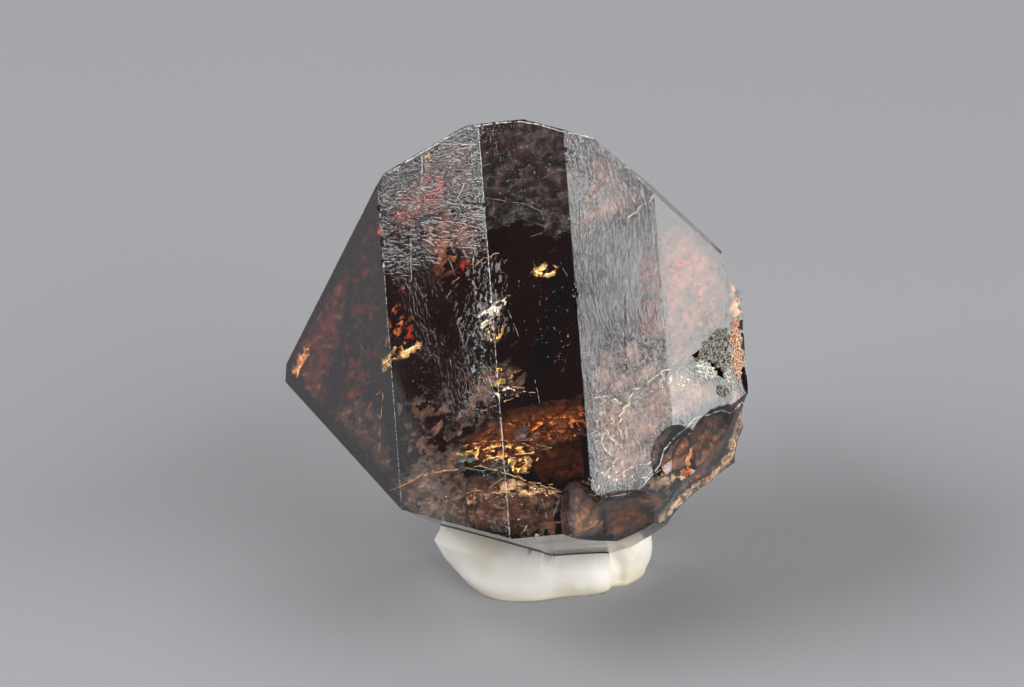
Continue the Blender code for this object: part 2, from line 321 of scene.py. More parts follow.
def zircon_finish():
    """Zircon: glassy, almost diamond-bright, stained red-brown by old radiation in the crystal.

    The stain is in the body, so thin parts glow orange-red and deep parts look black. Acid in the
    ground has etched the grown faces: the steep faces carry crooked ridges and fine furrows, which
    scatter the light to a grey sheen. Rubbed edges are ground white.
    """
    finish = bpy.data.materials.new("zircon")
    finish.use_nodes = True
    tree = finish.node_tree
    tree.nodes.clear()
    own = own_millimetres(tree)
    ridged, furrowed, rubbed, broken = (
        add(tree, "ShaderNodeAttribute", attribute_name=mark).outputs["Fac"] for mark in MARKS
    )

    # Crooked ridges, about 0.1 mm wide and 0.4 mm long, that climb to the right.
    leaning = add(
        tree,
        "ShaderNodeMapping",
        {"Vector": own, "Rotation": (0, math.radians(-28), 0), "Scale": (0.55, 1.0, 1.6)},
    )
    ridges = add(
        tree,
        "ShaderNodeTexNoise",
        {"Vector": leaning, "Scale": 3.1, "Detail": 2.5, "Roughness": 0.5, "Distortion": 1.6},
    )
    crest = add(tree, "ShaderNodeMapRange", {"Value": ridges, "From Min": 0.38, "From Max": 0.66}, **EASED)
    patches = add(
        tree, "ShaderNodeTexNoise", {"Vector": own, "Scale": 0.42, "Detail": 3.0, "Roughness": 0.55}
    )
    # The ridges die out downwards, between about 6 and 2 mm above the middle, in patches.
    up = add(tree, "ShaderNodeSeparateXYZ", {"Vector": own}).outputs["Z"]
    up = layered(tree, up, (patches, 1.0, 3.0))
    upper = add(tree, "ShaderNodeMapRange", {"Value": up, "From Min": 3.6, "From Max": 8.0}, **EASED)
    ridge_share = add(tree, "ShaderNodeMath", {0: ridged, 1: upper}, operation="MULTIPLY")

    # Fine furrows, 0.05 mm wide, whose grain swirls slowly across the face.
    swirl = add(tree, "ShaderNodeTexNoise", {"Vector": own, "Scale": 0.35, "Detail": 1.0}).outputs["Color"]
    swirled = add(
        tree,
        "ShaderNodeMixRGB",
        {"Fac": 0.55, "Color1": own, "Color2": swirl},
        blend_type="LINEAR_LIGHT",
    )
    hair = add(
        tree,
        "ShaderNodeMapping",
        {"Vector": swirled, "Rotation": (0, math.radians(14), 0), "Scale": (3.6, 2.0, 0.95)},
    )
    furrows = add(
        tree,
        "ShaderNodeTexNoise",
        {"Vector": hair, "Scale": 2.1, "Detail": 3.0, "Roughness": 0.62, "Distortion": 1.1},
    )
    furrow = add(tree, "ShaderNodeMapRange", {"Value": furrows, "From Min": 0.34, "From Max": 0.66}, **EASED)
    patchy = add(
        tree,
        "ShaderNodeMapRange",
        {"Value": patches, "From Min": 0.30, "From Max": 0.62, "To Min": 0.35},
        **EASED,
    )
    furrow_share = add(tree, "ShaderNodeMath", {0: furrowed, 1: patchy}, operation="MULTIPLY")

    # Ripples of a break, about 0.5 mm apart, crossed by faint hackle.
    ripples = add(
        tree,
        "ShaderNodeTexWave",
        {"Vector": own, "Scale": 0.42, "Distortion": 5.0, "Detail": 3.0, "Detail Scale": 0.6},
        wave_type="RINGS",
    ).outputs["Fac"]
    grain = add(
        tree, "ShaderNodeTexNoise", {"Vector": own, "Scale": 7.0, "Detail": 3.0, "Roughness": 0.6}
    )

    # How high each mark stands, from a break's hackle to the furrows.
    height = layered(
        tree, 0.0,
        (crest, ridge_share, 0.023 * MM),
        (furrow, furrow_share, 0.031 * MM),
        (ripples, broken, 0.012 * MM),
        (grain, broken, 0.006 * MM),
        (patches, 1.0, 0.02 * MM),
    )
    relief = add(tree, "ShaderNodeBump", {"Height": height, "Distance": 1.0})

    # Ground white: the rubbed edges, and a breath of frost in the etch marks.
    ground = add(
        tree,
        "ShaderNodeMapRange",
        {"Value": grain, "From Min": 0.38, "From Max": 0.62, "To Min": 0.04, "To Max": 0.72},
        **EASED,
    )
    frost = layered(
        tree, 0.0, (crest, ridge_share, 0.05), (furrow_share, 1.0, 0.03), (rubbed, ground, 1.0)
    )
    # A grown face is polished, and each kind of mark makes it rougher.
    roughness = layered(
        tree, 0.025, (furrow_share, 1.0, 0.07), (ridge_share, 1.0, 0.17), (frost, 1.0, 0.5)
    )
    glass = add(
        tree,
        "ShaderNodeBsdfPrincipled",
        {
            "Base Color": linear("f2f0ee"),
            "Roughness": roughness,
            "IOR": ZIRCON_IOR,
            "Transmission Weight": layered(tree, 1.0, (frost, 1.0, -1.0)),
            "Normal": relief,
        },
    )
    stain = add(tree, "ShaderNodeVolumeAbsorption", {"Color": STAIN_COLOUR, "Density": STAIN_DENSITY})
    add(tree, "ShaderNodeOutputMaterial", {"Surface": glass, "Volume": stain})
    return finish


# How strongly grown faces are ridged and furrowed. The rest are lightly furrowed.
ETCHED = {
    "steep_front_left": (1.0, 0.12),
    "prism_front": (0.10, 0.06),
    "steep_front_right": (0.0, 1.0),
    "pyramid_front_right": (0.0, 0.10),
    "pyramid_front_left": (0.06, 0.05),
    "steep_back_right": (0.8, 0.2),
    "prism_back": (0.3, 0.5),
}
LIGHTLY_ETCHED = (0.25, 0.4)
# A rubbed strip lies within this of two grown faces at once, in metres.
RUBBED_REACH = 0.12 * MM
# The edge between the front and the right steep face is hardly rubbed, and the next one is faint.
RUBBED_WHITE = {
    ("prism_front", "steep_front_right"): 0.35,
    ("steep_front_right", "pyramid_front_right"): 0.25,
    ("steep_front_left", "pyramid_front_left"): 0.75,
}
# A face belongs to a flat if it faces the same way, as a cosine, and lies this near it.
FACES_ALIKE, LIES_IN = 0.9995, 0.01 * MM
# A rubbed strip faces between its two flats, as a cosine.
FACES_BETWEEN = 0.98
# Where two faces meet at more than this, in degrees, the edge stays sharp.
SHARPEST_ROUND = 24


def flat_of(face):
    """The flat that a face of the solid lies in, or nothing."""
    normal = UNLEAN.to_3x3() @ face.normal
    middle = UNLEAN @ face.calc_center_median()
    for name, (outward, distance) in PLANES.items():
        if outward.dot(normal) > FACES_ALIKE and abs(outward.dot(middle) - distance) < LIES_IN:
            return name
    return None


def rubbed_white(face):
    """How white a strip along a grown edge is, or 0 for any other face."""
    middle = UNLEAN @ face.calc_center_median()
    near = [
        name
        for name in GROWN_FACES
        if PLANES[name][1] - PLANES[name][0].dot(middle) < RUBBED_REACH
    ]
    if len(near) < 2:
        return 0.0
    normal = UNLEAN.to_3x3() @ face.normal
    between = (PLANES[near[0]][0] + PLANES[near[1]][0]).normalized()
    return RUBBED_WHITE.get(tuple(near[:2]), 1.0) if normal.dot(between) > FACES_BETWEEN else 0.0


def make_crystal_body():
    """The crystal itself, from the modelled solid."""
    solid = bmesh.new()
    solid.from_mesh(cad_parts["zircon_crystal"].data)
    bmesh.ops.remove_doubles(solid, verts=solid.verts, dist=1e-7)
    marks = {mark: solid.faces.layers.float.new(mark) for mark in MARKS}
    for face in solid.faces:
        face.smooth = True
        name = flat_of(face)
        if name in GROWN_FACES:
            face[marks["ridged"]], face[marks["furrowed"]] = ETCHED.get(name, LIGHTLY_ETCHED)
        else:
            white = rubbed_white(face)
            face[marks["rubbed"]] = white
            face[marks["broken"]] = 0.0 if white else 1.0
    for edge in solid.edges:
        edge.smooth = len(edge.link_faces) == 2 and edge.calc_face_angle() < math.radians(SHARPEST_ROUND)
    body = new_piece("crystal_body", solid, zircon_finish())
    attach(body, "root")
    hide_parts("zircon_crystal")
    return body


def surface_of(body):
    """The crystal's surface, to ask how near a point is to it."""
    solid = bmesh.new()
    solid.from_mesh(body.data)
    made = BVHTree.FromBMesh(solid)
    solid.free()
    return made


# Healed cracks: thin wavy sheets of trapped fluid and iron stain, in tatters

# Each tint has a shade for its hollows, a gleam for its ridges, how much it mirrors like foil, and
# how drawn out its scraps are. Those that mirror little are dusty with stain, and glow all round.
TINTS = {
    "gold": ("b06818", "ffe4a0", 0.85, 1.6),
    "cream": ("c0a884", "fff8ea", 0.8, 2.0),
    "orange": ("c05010", "ffb870", 0.55, 2.0),
    "tan": ("b08058", "fcdcb8", 0.55, 2.0),
    "brown": ("904824", "e0a880", 0.35, 1.8),
    "umber": ("5c4834", "b8a088", 0.2, 1.6),
    "amber_dust": ("e06c20", "ffb468", 0.1, 1.6),
    "smoke": ("8c5c50", "d8a898", 0.1, 1.4),
    "plum": ("2c0e14", "6c3c44", 0.05, 1.3),
    "rosy": ("dc9878", "ffdcc8", 0.15, 1.6),
    "mauve": ("805458", "dcc4c4", 0.4, 1.6),
    "maroon": ("b83830", "e06054", 0.15, 1.5),
    "red": ("a81810", "ff5040", 0.5, 1.6),
    "silver": ("a8a8a8", "f4f4f8", 0.3, 7.0),
    "yellow": ("c09820", "ffe068", 0.3, 1.0),
    "pink": ("b04068", "f090b0", 0.3, 1.0),
    "cyan": ("2c4444", "70a098", 0.2, 1.0),
    "gold_streak": ("b06818", "ffe4a0", 0.85, 3.5),
    "pale_streak": ("c0a884", "fff8ea", 0.8, 3.5),
    "ember_streak": ("c84408", "ffa050", 0.7, 3.5),
}

RIGHT, LEFT = "softbox_right", "softbox_left"

# Name: tint, light that it mirrors, how fully it faces it, depth in millimetres, share left whole,
# grain angle in degrees, outline in pixels of the photo.
CRACKS = {
    "gold_tongue": ("gold", LEFT, 1.0, 0.22, 0.85, 20, ((381, 360), (390, 348), (401, 343), (424, 341),
        (424, 347), (414, 354), (398, 361), (390, 367), (384, 374), (380, 370))),
    "tongue_root": ("orange", LEFT, 1.0, 0.6, 0.6, 60, ((392, 303), (400, 301), (404, 314), (418, 316),
        (412, 326), (400, 336), (388, 348), (384, 352), (386, 330))),
    "red_patch": ("red", LEFT, 1.0, 0.7, 0.85, 60, ((403, 327), (413, 325), (415, 338), (404, 341))),
    "red_wash": ("red", LEFT, 0.9, 0.7, 0.75, 40, ((424, 170), (446, 172), (452, 208), (424, 216),
        (396, 240), (388, 205), (405, 188))),
    "rosy_left_top": ("mauve", LEFT, 0.8, 1.3, 0.75, 50, ((387, 192), (425, 156), (460, 132), (473, 130),
        (483, 250), (458, 275), (440, 290), (420, 250), (392, 225))),
    "red_drop": ("red", LEFT, 1.0, 0.8, 0.8, 80, ((458, 260), (471, 256), (471, 272), (459, 275))),
    "amber_spot": ("gold", LEFT, 1.0, 0.25, 1.0, 0, ((422, 154), (427, 152), (431, 154), (428, 159),
        (423, 158))),
    "amber_tail": ("orange", LEFT, 1.0, 0.7, 0.8, 80, ((424, 158), (430, 158), (428, 178), (425, 178))),
    "ochre_spot": ("gold", LEFT, 1.0, 0.6, 1.0, 0, ((437, 223), (443, 220), (446, 225), (441, 228))),
    "drop_high": ("orange", LEFT, 1.0, 0.5, 1.0, 0, ((398, 274), (405, 274), (405, 279), (399, 279))),
    "drop_middle": ("orange", LEFT, 1.0, 0.4, 1.0, 0, ((397, 285), (405, 284), (405, 290), (398, 290))),
    "pale_flake": ("cream", LEFT, 1.0, 0.12, 0.8, 35, ((474, 324), (479, 309), (489, 300), (500, 296),
        (513, 294), (513, 303), (502, 311), (499, 320), (489, 326), (478, 331))),
    "pale_flake_low": ("gold", LEFT, 1.0, 0.2, 0.75, 50, ((483, 334), (492, 319), (507, 320), (504, 336),
        (495, 345), (485, 342))),
    "gold_dash": ("gold", LEFT, 1.0, 0.3, 0.85, 15, ((530, 268), (544, 262), (559, 267), (555, 277),
        (535, 280))),
    "amber_corner": ("gold", LEFT, 0.8, 0.3, 0.5, 50, ((510, 126), (519, 120), (523, 131), (513, 136))),
    "top_cloud": ("plum", LEFT, 0.3, 0.12, 1.0, 40, ((462, 96), (526, 96), (590, 106), (600, 205),
        (560, 244), (520, 226), (476, 236))),
    "top_mottle": ("mauve", LEFT, 0.5, 0.10, 0.22, 80, ((484, 126), (522, 125), (558, 135), (569, 225),
        (540, 232), (492, 225))),
    "top_ember_low": ("maroon", LEFT, 0.5, 0.4, 0.7, 30, ((548, 205), (566, 200), (570, 236), (558, 232))),
    "top_ember_left": ("maroon", LEFT, 0.5, 0.5, 0.7, 60, ((484, 150), (500, 146), (504, 180), (488, 186))),
    "top_ember_high": ("maroon", LEFT, 0.5, 0.5, 0.6, 30, ((524, 124), (544, 128), (548, 146), (528, 148))),
    "grey_fan": ("silver", LEFT, 0.2, 0.08, 0.7, 80, ((456, 240), (470, 236), (492, 250), (512, 262),
        (508, 300), (516, 330), (500, 345), (474, 350), (466, 300))),
    "grey_haze": ("silver", LEFT, 0.2, 0.08, 0.6, 72, ((452, 300), (470, 290), (482, 330), (492, 372),
        (478, 384), (460, 360))),
    "grey_haze_right": ("silver", LEFT, 0.2, 0.08, 0.35, 62, ((520, 250), (566, 262), (578, 330),
        (576, 380), (540, 370), (514, 320))),
    "grey_haze_low": ("silver", LEFT, 0.2, 0.08, 0.35, 50, ((396, 350), (440, 340), (470, 370), (462, 420),
        (430, 452), (398, 430))),
    "rainbow_yellow": ("yellow", LEFT, 0.6, 0.07, 1.0, 0, ((488, 382), (506, 378), (507, 384), (489, 389))),
    "rainbow_pink": ("pink", LEFT, 0.6, 0.07, 1.0, 0, ((488, 377), (500, 374), (504, 378), (489, 382))),
    "rainbow_low_yellow": ("yellow", LEFT, 0.6, 0.07, 1.0, 0, ((455, 452), (474, 450), (475, 456),
        (456, 458))),
    "rainbow_low_cyan": ("cyan", LEFT, 0.6, 0.07, 1.0, 0, ((455, 458), (475, 456), (475, 462), (457, 464))),
    "rainbow_strip": ("cyan", LEFT, 0.6, 0.07, 1.0, 0, ((504, 458), (509, 458), (509, 474), (505, 474))),
    "brown_arch": ("brown", RIGHT, 0.9, 0.8, 0.7, 35, ((462, 376), (476, 368), (492, 363), (512, 365),
        (520, 372), (516, 384), (500, 388), (480, 396), (470, 408), (452, 426), (443, 432), (446, 418),
        (458, 404), (470, 392), (464, 384))),
    "gold_arch": ("gold", LEFT, 1.0, 0.3, 0.7, 10, ((479, 373), (500, 362), (516, 367), (516, 380),
        (498, 386), (484, 382))),
    "pale_arch": ("cream", LEFT, 1.0, 0.1, 0.5, 8, ((484, 392), (500, 385), (518, 386), (536, 392),
        (530, 398), (510, 396), (490, 402))),
    "dull_arch": ("smoke", LEFT, 0.3, 0.3, 0.9, 30, ((440, 440), (448, 415), (466, 395), (480, 366),
        (510, 358), (528, 372), (524, 395), (500, 400), (486, 420), (470, 440), (450, 452))),
    "orange_band": ("orange", LEFT, 1.0, 0.5, 0.5, 8, ((490, 434), (503, 421), (527, 415), (551, 411),
        (587, 405), (589, 428), (570, 431), (559, 438), (535, 448), (520, 446), (498, 444))),
    "band_fire": ("ember_streak", LEFT, 1.0, 0.3, 0.34, 12, ((486, 440), (500, 424), (527, 414), (551, 408),
        (590, 402), (592, 440), (570, 446), (552, 440), (530, 446), (500, 448))),
    "hole_fire": ("ember_streak", LEFT, 1.0, 0.6, 0.12, 30, ((536, 446), (560, 436), (592, 430), (594, 482),
        (556, 484), (534, 472))),
    "mauve_band": ("smoke", LEFT, 0.5, 0.15, 0.9, 5, ((510, 430), (523, 426), (541, 428), (539, 440),
        (515, 442))),
    "gold_band": ("gold_streak", LEFT, 1.0, 0.38, 0.66, 12, ((457, 449), (470, 446), (500, 440), (535, 447),
        (552, 447), (542, 458), (535, 470), (525, 475), (509, 473), (500, 462), (480, 463), (462, 463))),
    "gold_burst": ("gold", LEFT, 1.0, 0.3, 0.75, 70, ((508, 457), (532, 456), (533, 466), (522, 475),
        (509, 475))),
    "tan_lens": ("tan", LEFT, 1.0, 0.3, 0.85, 5, ((463, 494), (480, 491), (497, 485), (505, 478),
        (520, 478), (535, 485), (562, 490), (564, 497), (540, 498), (508, 498), (480, 501), (468, 507),
        (463, 501))),
    "brown_left_foot": ("brown", LEFT, 1.0, 0.6, 0.75, 25, ((392, 492), (408, 484), (424, 475), (440, 473),
        (460, 470), (462, 486), (461, 505), (455, 520), (440, 521), (420, 515), (404, 506))),
    "smoky_left_low": ("smoke", LEFT, 0.3, 0.55, 0.65, 60, ((396, 400), (450, 380), (462, 400), (452, 440),
        (440, 470), (408, 482), (396, 450))),
    "rosy_foot": ("brown", RIGHT, 0.9, 0.8, 0.6, 80, ((463, 503), (480, 503), (508, 500), (540, 500),
        (562, 499), (564, 532), (530, 538), (505, 533), (470, 524), (462, 515))),
    "hole_brown": ("smoke", RIGHT, 0.3, 1.6, 1.0, 10, ((520, 442), (560, 430), (594, 424), (596, 482),
        (560, 486), (530, 478))),
    "upper_band_glow": ("amber_dust", RIGHT, 0.3, 0.8, 1.0, 10, ((450, 452), (462, 436), (482, 422),
        (505, 410), (545, 400), (592, 392), (594, 436), (570, 442), (550, 452), (520, 478), (490, 470),
        (455, 470))),
    "foot_glow": ("smoke", RIGHT, 0.3, 0.35, 1.0, 10, ((440, 476), (480, 474), (505, 476), (530, 482),
        (566, 486), (590, 474), (602, 500), (604, 534), (580, 541), (530, 540), (500, 534), (440, 524))),
    "left_foot_dust": ("smoke", LEFT, 0.3, 0.25, 1.0, 20, ((388, 478), (412, 462), (440, 448), (466, 440),
        (468, 520), (440, 524), (404, 510))),
    "left_foot_gold": ("gold_streak", LEFT, 1.0, 0.25, 0.24, 25, ((396, 492), (420, 476), (446, 470),
        (464, 470), (462, 500), (440, 510), (410, 502))),
    "foot_gold": ("gold_streak", LEFT, 1.0, 0.25, 0.2, 10, ((463, 480), (500, 474), (530, 480), (566, 486),
        (590, 480), (600, 510), (585, 534), (540, 534), (500, 524), (465, 508))),
    "lens_cream": ("pale_streak", LEFT, 1.0, 0.12, 0.28, 5, ((463, 492), (500, 482), (520, 477), (540, 485),
        (564, 490), (560, 500), (500, 502), (468, 506))),
    "brown_shell": ("amber_dust", RIGHT, 0.8, 0.1, 1.0, 60, ((566, 488), (578, 478), (590, 482), (595, 498),
        (606, 500), (604, 515), (606, 530), (590, 537), (572, 536), (567, 520))),
    "shell_flecks": ("tan", RIGHT, 1.0, 0.1, 0.34, 60, ((566, 490), (578, 480), (590, 484), (606, 500),
        (606, 528), (590, 536), (572, 535))),
    "low_shell": ("amber_dust", RIGHT, 0.5, 0.1, 1.0, 15, ((604, 498), (627, 495), (645, 489), (662, 492),
        (666, 505), (653, 522), (638, 533), (620, 540), (606, 536), (602, 515))),
    "low_shell_dusk": ("umber", RIGHT, 0.4, 0.12, 0.5, 15, ((610, 500), (630, 497), (655, 495), (660, 505),
        (648, 522), (630, 532), (612, 530))),
    "upper_shell_left": ("amber_dust", RIGHT, 0.6, 0.2, 1.0, 70, ((657, 466), (668, 447), (684, 432),
        (690, 440), (688, 462), (676, 472), (662, 474))),
    "upper_shell": ("amber_dust", RIGHT, 0.5, 0.22, 1.0, 70, ((693, 426), (706, 415), (722, 414), (732, 424),
        (731, 440), (722, 456), (708, 467), (696, 471), (689, 455), (688, 438))),
    "upper_shell_dusk": ("umber", RIGHT, 0.4, 0.12, 0.55, 70, ((700, 424), (716, 418), (727, 426),
        (722, 446), (706, 462), (694, 462), (692, 442))),
    "shell_ridge": ("orange", RIGHT, 0.8, 0.12, 0.8, 80, ((684, 436), (691, 430), (692, 446), (692, 466),
        (686, 470), (684, 456))),
    "between_shells": ("tan", RIGHT, 0.7, 0.15, 0.85, 25, ((640, 486), (655, 470), (676, 470), (690, 476),
        (690, 488), (668, 498), (664, 492), (646, 490))),
    "orange_glow": ("ember_streak", RIGHT, 1.0, 0.35, 0.95, 20, ((678, 472), (690, 466), (700, 469),
        (707, 466), (708, 473), (698, 481), (690, 484), (682, 480))),
    "rim_amber": ("orange", RIGHT, 0.8, 0.15, 0.9, 60, ((722, 462), (734, 440), (738, 420), (745, 415),
        (744, 436), (736, 455), (724, 472), (712, 482), (704, 478), (714, 470))),
    "pale_rim": ("tan", RIGHT, 1.0, 0.1, 1.0, 50, ((735, 425), (741, 404), (747, 408), (746, 430),
        (738, 455), (724, 472), (712, 483), (694, 498), (672, 515), (660, 526), (655, 520), (668, 503),
        (690, 486), (708, 474), (724, 458))),
    "rim_brown_base": ("amber_dust", RIGHT, 0.5, 0.35, 1.0, 50, ((729, 410), (741, 400), (747, 408),
        (746, 430), (738, 455), (724, 472), (712, 483), (694, 498), (672, 515), (658, 527), (650, 522),
        (668, 500), (690, 484), (706, 470), (724, 456))),
    "rim_chip_high": ("orange", RIGHT, 0.7, 0.1, 0.85, 80, ((727, 269), (735, 275), (740, 296), (741, 313),
        (733, 320), (726, 322), (732, 300), (729, 285))),
    "rim_chip_middle": ("rosy", RIGHT, 0.4, 0.15, 1.0, 80, ((729, 328), (735, 330), (740, 345), (741, 369),
        (736, 372), (730, 362), (731, 345))),
    "rim_chip_low": ("amber_dust", RIGHT, 0.6, 0.12, 0.9, 70, ((728, 392), (736, 388), (743, 398), (746, 410),
        (736, 412), (726, 404))),
    "rosy_corner": ("rosy", RIGHT, 1.0, 0.4, 1.0, 30, ((590, 388), (620, 388), (650, 378), (680, 368),
        (700, 372), (712, 380), (722, 398), (700, 410), (680, 426), (662, 448), (655, 468), (625, 488),
        (602, 488), (595, 470), (591, 430))),
    "rosy_low": ("rosy", RIGHT, 1.0, 0.18, 0.95, 60, ((586, 350), (640, 336), (660, 352), (662, 384),
        (620, 398), (590, 402))),
    "corner_white": ("cream", RIGHT, 1.0, 0.1, 0.3, 40, ((588, 404), (604, 392), (632, 392), (660, 372),
        (694, 370), (690, 384), (656, 394), (630, 412), (618, 440), (610, 478), (594, 476))),
    "steep_white": ("cream", RIGHT, 1.0, 0.1, 0.16, 50, ((586, 350), (640, 340), (656, 360), (650, 386),
        (600, 396), (590, 400))),
    "rosy_corner_gold": ("pale_streak", RIGHT, 1.0, 0.2, 0.4, 30, ((592, 392), (620, 390), (650, 380),
        (684, 368), (700, 376), (690, 392), (650, 400), (625, 420), (615, 450), (640, 470), (655, 466),
        (628, 488), (602, 488), (595, 450))),
    "rosy_top": ("rosy", RIGHT, 0.2, 1.1, 0.95, 60, ((568, 138), (592, 143), (640, 187), (650, 197),
        (622, 219), (600, 228), (574, 238), (570, 190))),
    "rosy_right": ("rosy", RIGHT, 0.7, 1.2, 1.0, 60, ((646, 250), (670, 222), (694, 224), (726, 252),
        (736, 285), (738, 315), (722, 330), (700, 342), (676, 360), (650, 340))),
    "rosy_right_foot": ("rosy", RIGHT, 0.6, 1.1, 1.0, 60, ((662, 350), (700, 338), (724, 326), (720, 350),
        (700, 362), (680, 370), (660, 376))),
    "tip_glow": ("maroon", LEFT, 0.4, 0.6, 1.0, 70, ((288, 372), (296, 346), (318, 312), (345, 262),
        (352, 270), (342, 340), (324, 412), (305, 392))),
    "left_wash": ("maroon", LEFT, 0.3, 1.2, 0.8, 60, ((350, 262), (374, 205), (384, 300), (388, 380),
        (372, 384), (350, 410), (335, 400), (345, 330))),
    "left_foot_glow": ("smoke", LEFT, 0.3, 0.4, 1.0, 60, ((326, 410), (352, 396), (378, 400), (390, 440),
        (394, 480), (372, 462), (346, 434))),
    "ember_strip": ("red", RIGHT, 1.0, 1.2, 0.6, 80, ((640, 242), (655, 242), (655, 360), (642, 356))),
    "ember_flame": ("orange", RIGHT, 1.0, 0.6, 0.7, 80, ((697, 275), (702, 272), (706, 300), (697, 304),
        (694, 292))),
    "ember_cross": ("red", RIGHT, 1.0, 0.8, 0.9, 5, ((642, 258), (668, 259), (670, 263), (643, 263))),
    "ember_right": ("red", RIGHT, 1.0, 0.8, 0.9, 5, ((673, 260), (686, 258), (688, 266), (676, 268))),
    "ember_low": ("red", RIGHT, 1.0, 0.7, 0.9, 5, ((658, 325), (682, 324), (683, 328), (659, 329))),
    "maroon_tip": ("red", LEFT, 0.9, 1.1, 0.3, 70, ((300, 374), (294, 366), (302, 345), (320, 315),
        (345, 266), (340, 334), (320, 408))),
    "ember_tip": ("orange", LEFT, 1.0, 0.12, 0.9, 80, ((290, 374), (297, 354), (304, 340), (313, 344),
        (307, 362), (298, 380))),
    "maroon_left_foot": ("maroon", LEFT, 1.0, 0.6, 0.7, 80, ((364, 440), (383, 402), (391, 440),
        (395, 480), (384, 474), (370, 458))),
    "brown_left": ("brown", LEFT, 0.7, 0.9, 0.2, 60, ((330, 400), (350, 372), (372, 378), (368, 420),
        (350, 440))),
    "red_beside_ridge": ("red", LEFT, 1.0, 0.6, 0.7, 85, ((377, 219), (382, 218), (383, 250), (378, 250))),
}

GRID = 1.0  # pixels of the photo between a sheet's points, 0.04 mm
MARGIN = 3  # pixels of grid kept round an outline
EDGE_RAGGED, EDGE_SIZE = 3.0, 6.0  # pixels: how far the edge of a sheet strays, and how often
FADE = 24.0  # pixels over which a dusty stain fades at its edge
SCRAPS = 0.14, 0.75  # millimetres: the scraps of a sheet that is nearly gone, and of one nearly whole
CRUMBS, CRUMB_SIZE = 0.3, 2.4  # the finest tatters: their share, and pixels across
TEAR, THINNING = 0.02, 0.7  # how gently foil, and a dusty stain, thin out towards their gaps
MOTTLE_SIZE, MOTTLE_DARK = 0.8, 0.95  # millimetres across, and how dark its dark spots are
MOTTLE_SMOOTH, MOTTLE_SHARP = 0.45, 0.75
FAINTEST = 0.04
WAVE, WAVE_LENGTH = 0.05, 14.0  # a sheet's waves: millimetres high, pixels long
SHAKEN, SHAKEN_SIZE = 0.16, 7.0  # how far its flakes are turned from the light, and over how many pixels
SHALLOWEST = 0.07  # millimetres
# Added to a sheet's own seed, so that its patterns differ.
SEED_ACROSS, SEED_TATTER, SEED_CRUMB, SEED_MOTTLE, SEED_WAVE, SEED_SHAKEN = 31, 57, 61, 71, 83, 90
KEEP_OFF = 0.03 * MM  # how far the sheets stay inside the crystal's surface
TORN_APART = 0.4 * MM  # a sheet isn't stretched over a wider gap than this
LONGEST_LEAP = 0.3 * MM  # between two points of a thread
ON_SURFACE = 0.05 * MM  # a scratch any further from the surface would hang in the air


def inside_outline(x, y, outline):
    """Which of many points are inside a closed outline."""
    inside = np.zeros(x.shape, dtype=bool)
    for (x0, y0), (x1, y1) in zip(outline, outline[1:] + outline[:1]):
        if y0 != y1:
            cut = (x1 - x0) * (y - y0) / (y1 - y0) + x0
            inside ^= ((y0 > y) != (y1 > y)) & (x < cut)
    return inside


def is_inside(points, surface):
    """Which points are inside the crystal's own surface, with a little to spare."""
    kept = np.zeros(len(points), dtype=bool)
    for number, point in enumerate(points):
        near, normal, _, gap = surface.find_nearest(Vector(point))
        kept[number] = gap > KEEP_OFF and (Vector(point) - near).dot(normal) < 0
    return kept


def far_inside(x, y, outline):
    """How far many points are from the nearest side of a closed outline."""
    far = np.full(x.shape, np.inf)
    for (x0, y0), (x1, y1) in zip(outline, outline[1:] + outline[:1]):
        long = (x1 - x0) ** 2 + (y1 - y0) ** 2 or 1.0
        part = np.clip(((x - x0) * (x1 - x0) + (y - y0) * (y1 - y0)) / long, 0, 1)
        far = np.minimum(far, np.hypot(x - x0 - part * (x1 - x0), y - y0 - part * (y1 - y0)))
    return far


def grid_over(outline, margin, step):
    """The pixels of a grid that covers an outline."""
    xs, ys = zip(*outline)
    return np.meshgrid(
        np.arange(min(xs) - margin, max(xs) + margin, step),
        np.arange(min(ys) - margin, max(ys) + margin, step),
    )


def cells_between(keep, points, widest):
    """The four-cornered faces of a grid whose corners are kept, and no further apart than that."""
    rows, columns = keep.shape
    index = np.arange(keep.size).reshape(keep.shape)
    spots = points.reshape(*keep.shape, 3)
    whole = np.ones((rows - 1, columns - 1), dtype=bool)
    corners = []
    for down, right in ((0, 0), (1, 0), (1, 1), (0, 1)):
        part = slice(down, rows - 1 + down), slice(right, columns - 1 + right)
        corners.append(index[part])
        whole &= keep[part] & (np.linalg.norm(spots[part] - spots[:-1, :-1], axis=2) < widest)
    return np.stack([corner[whole] for corner in corners], axis=1)


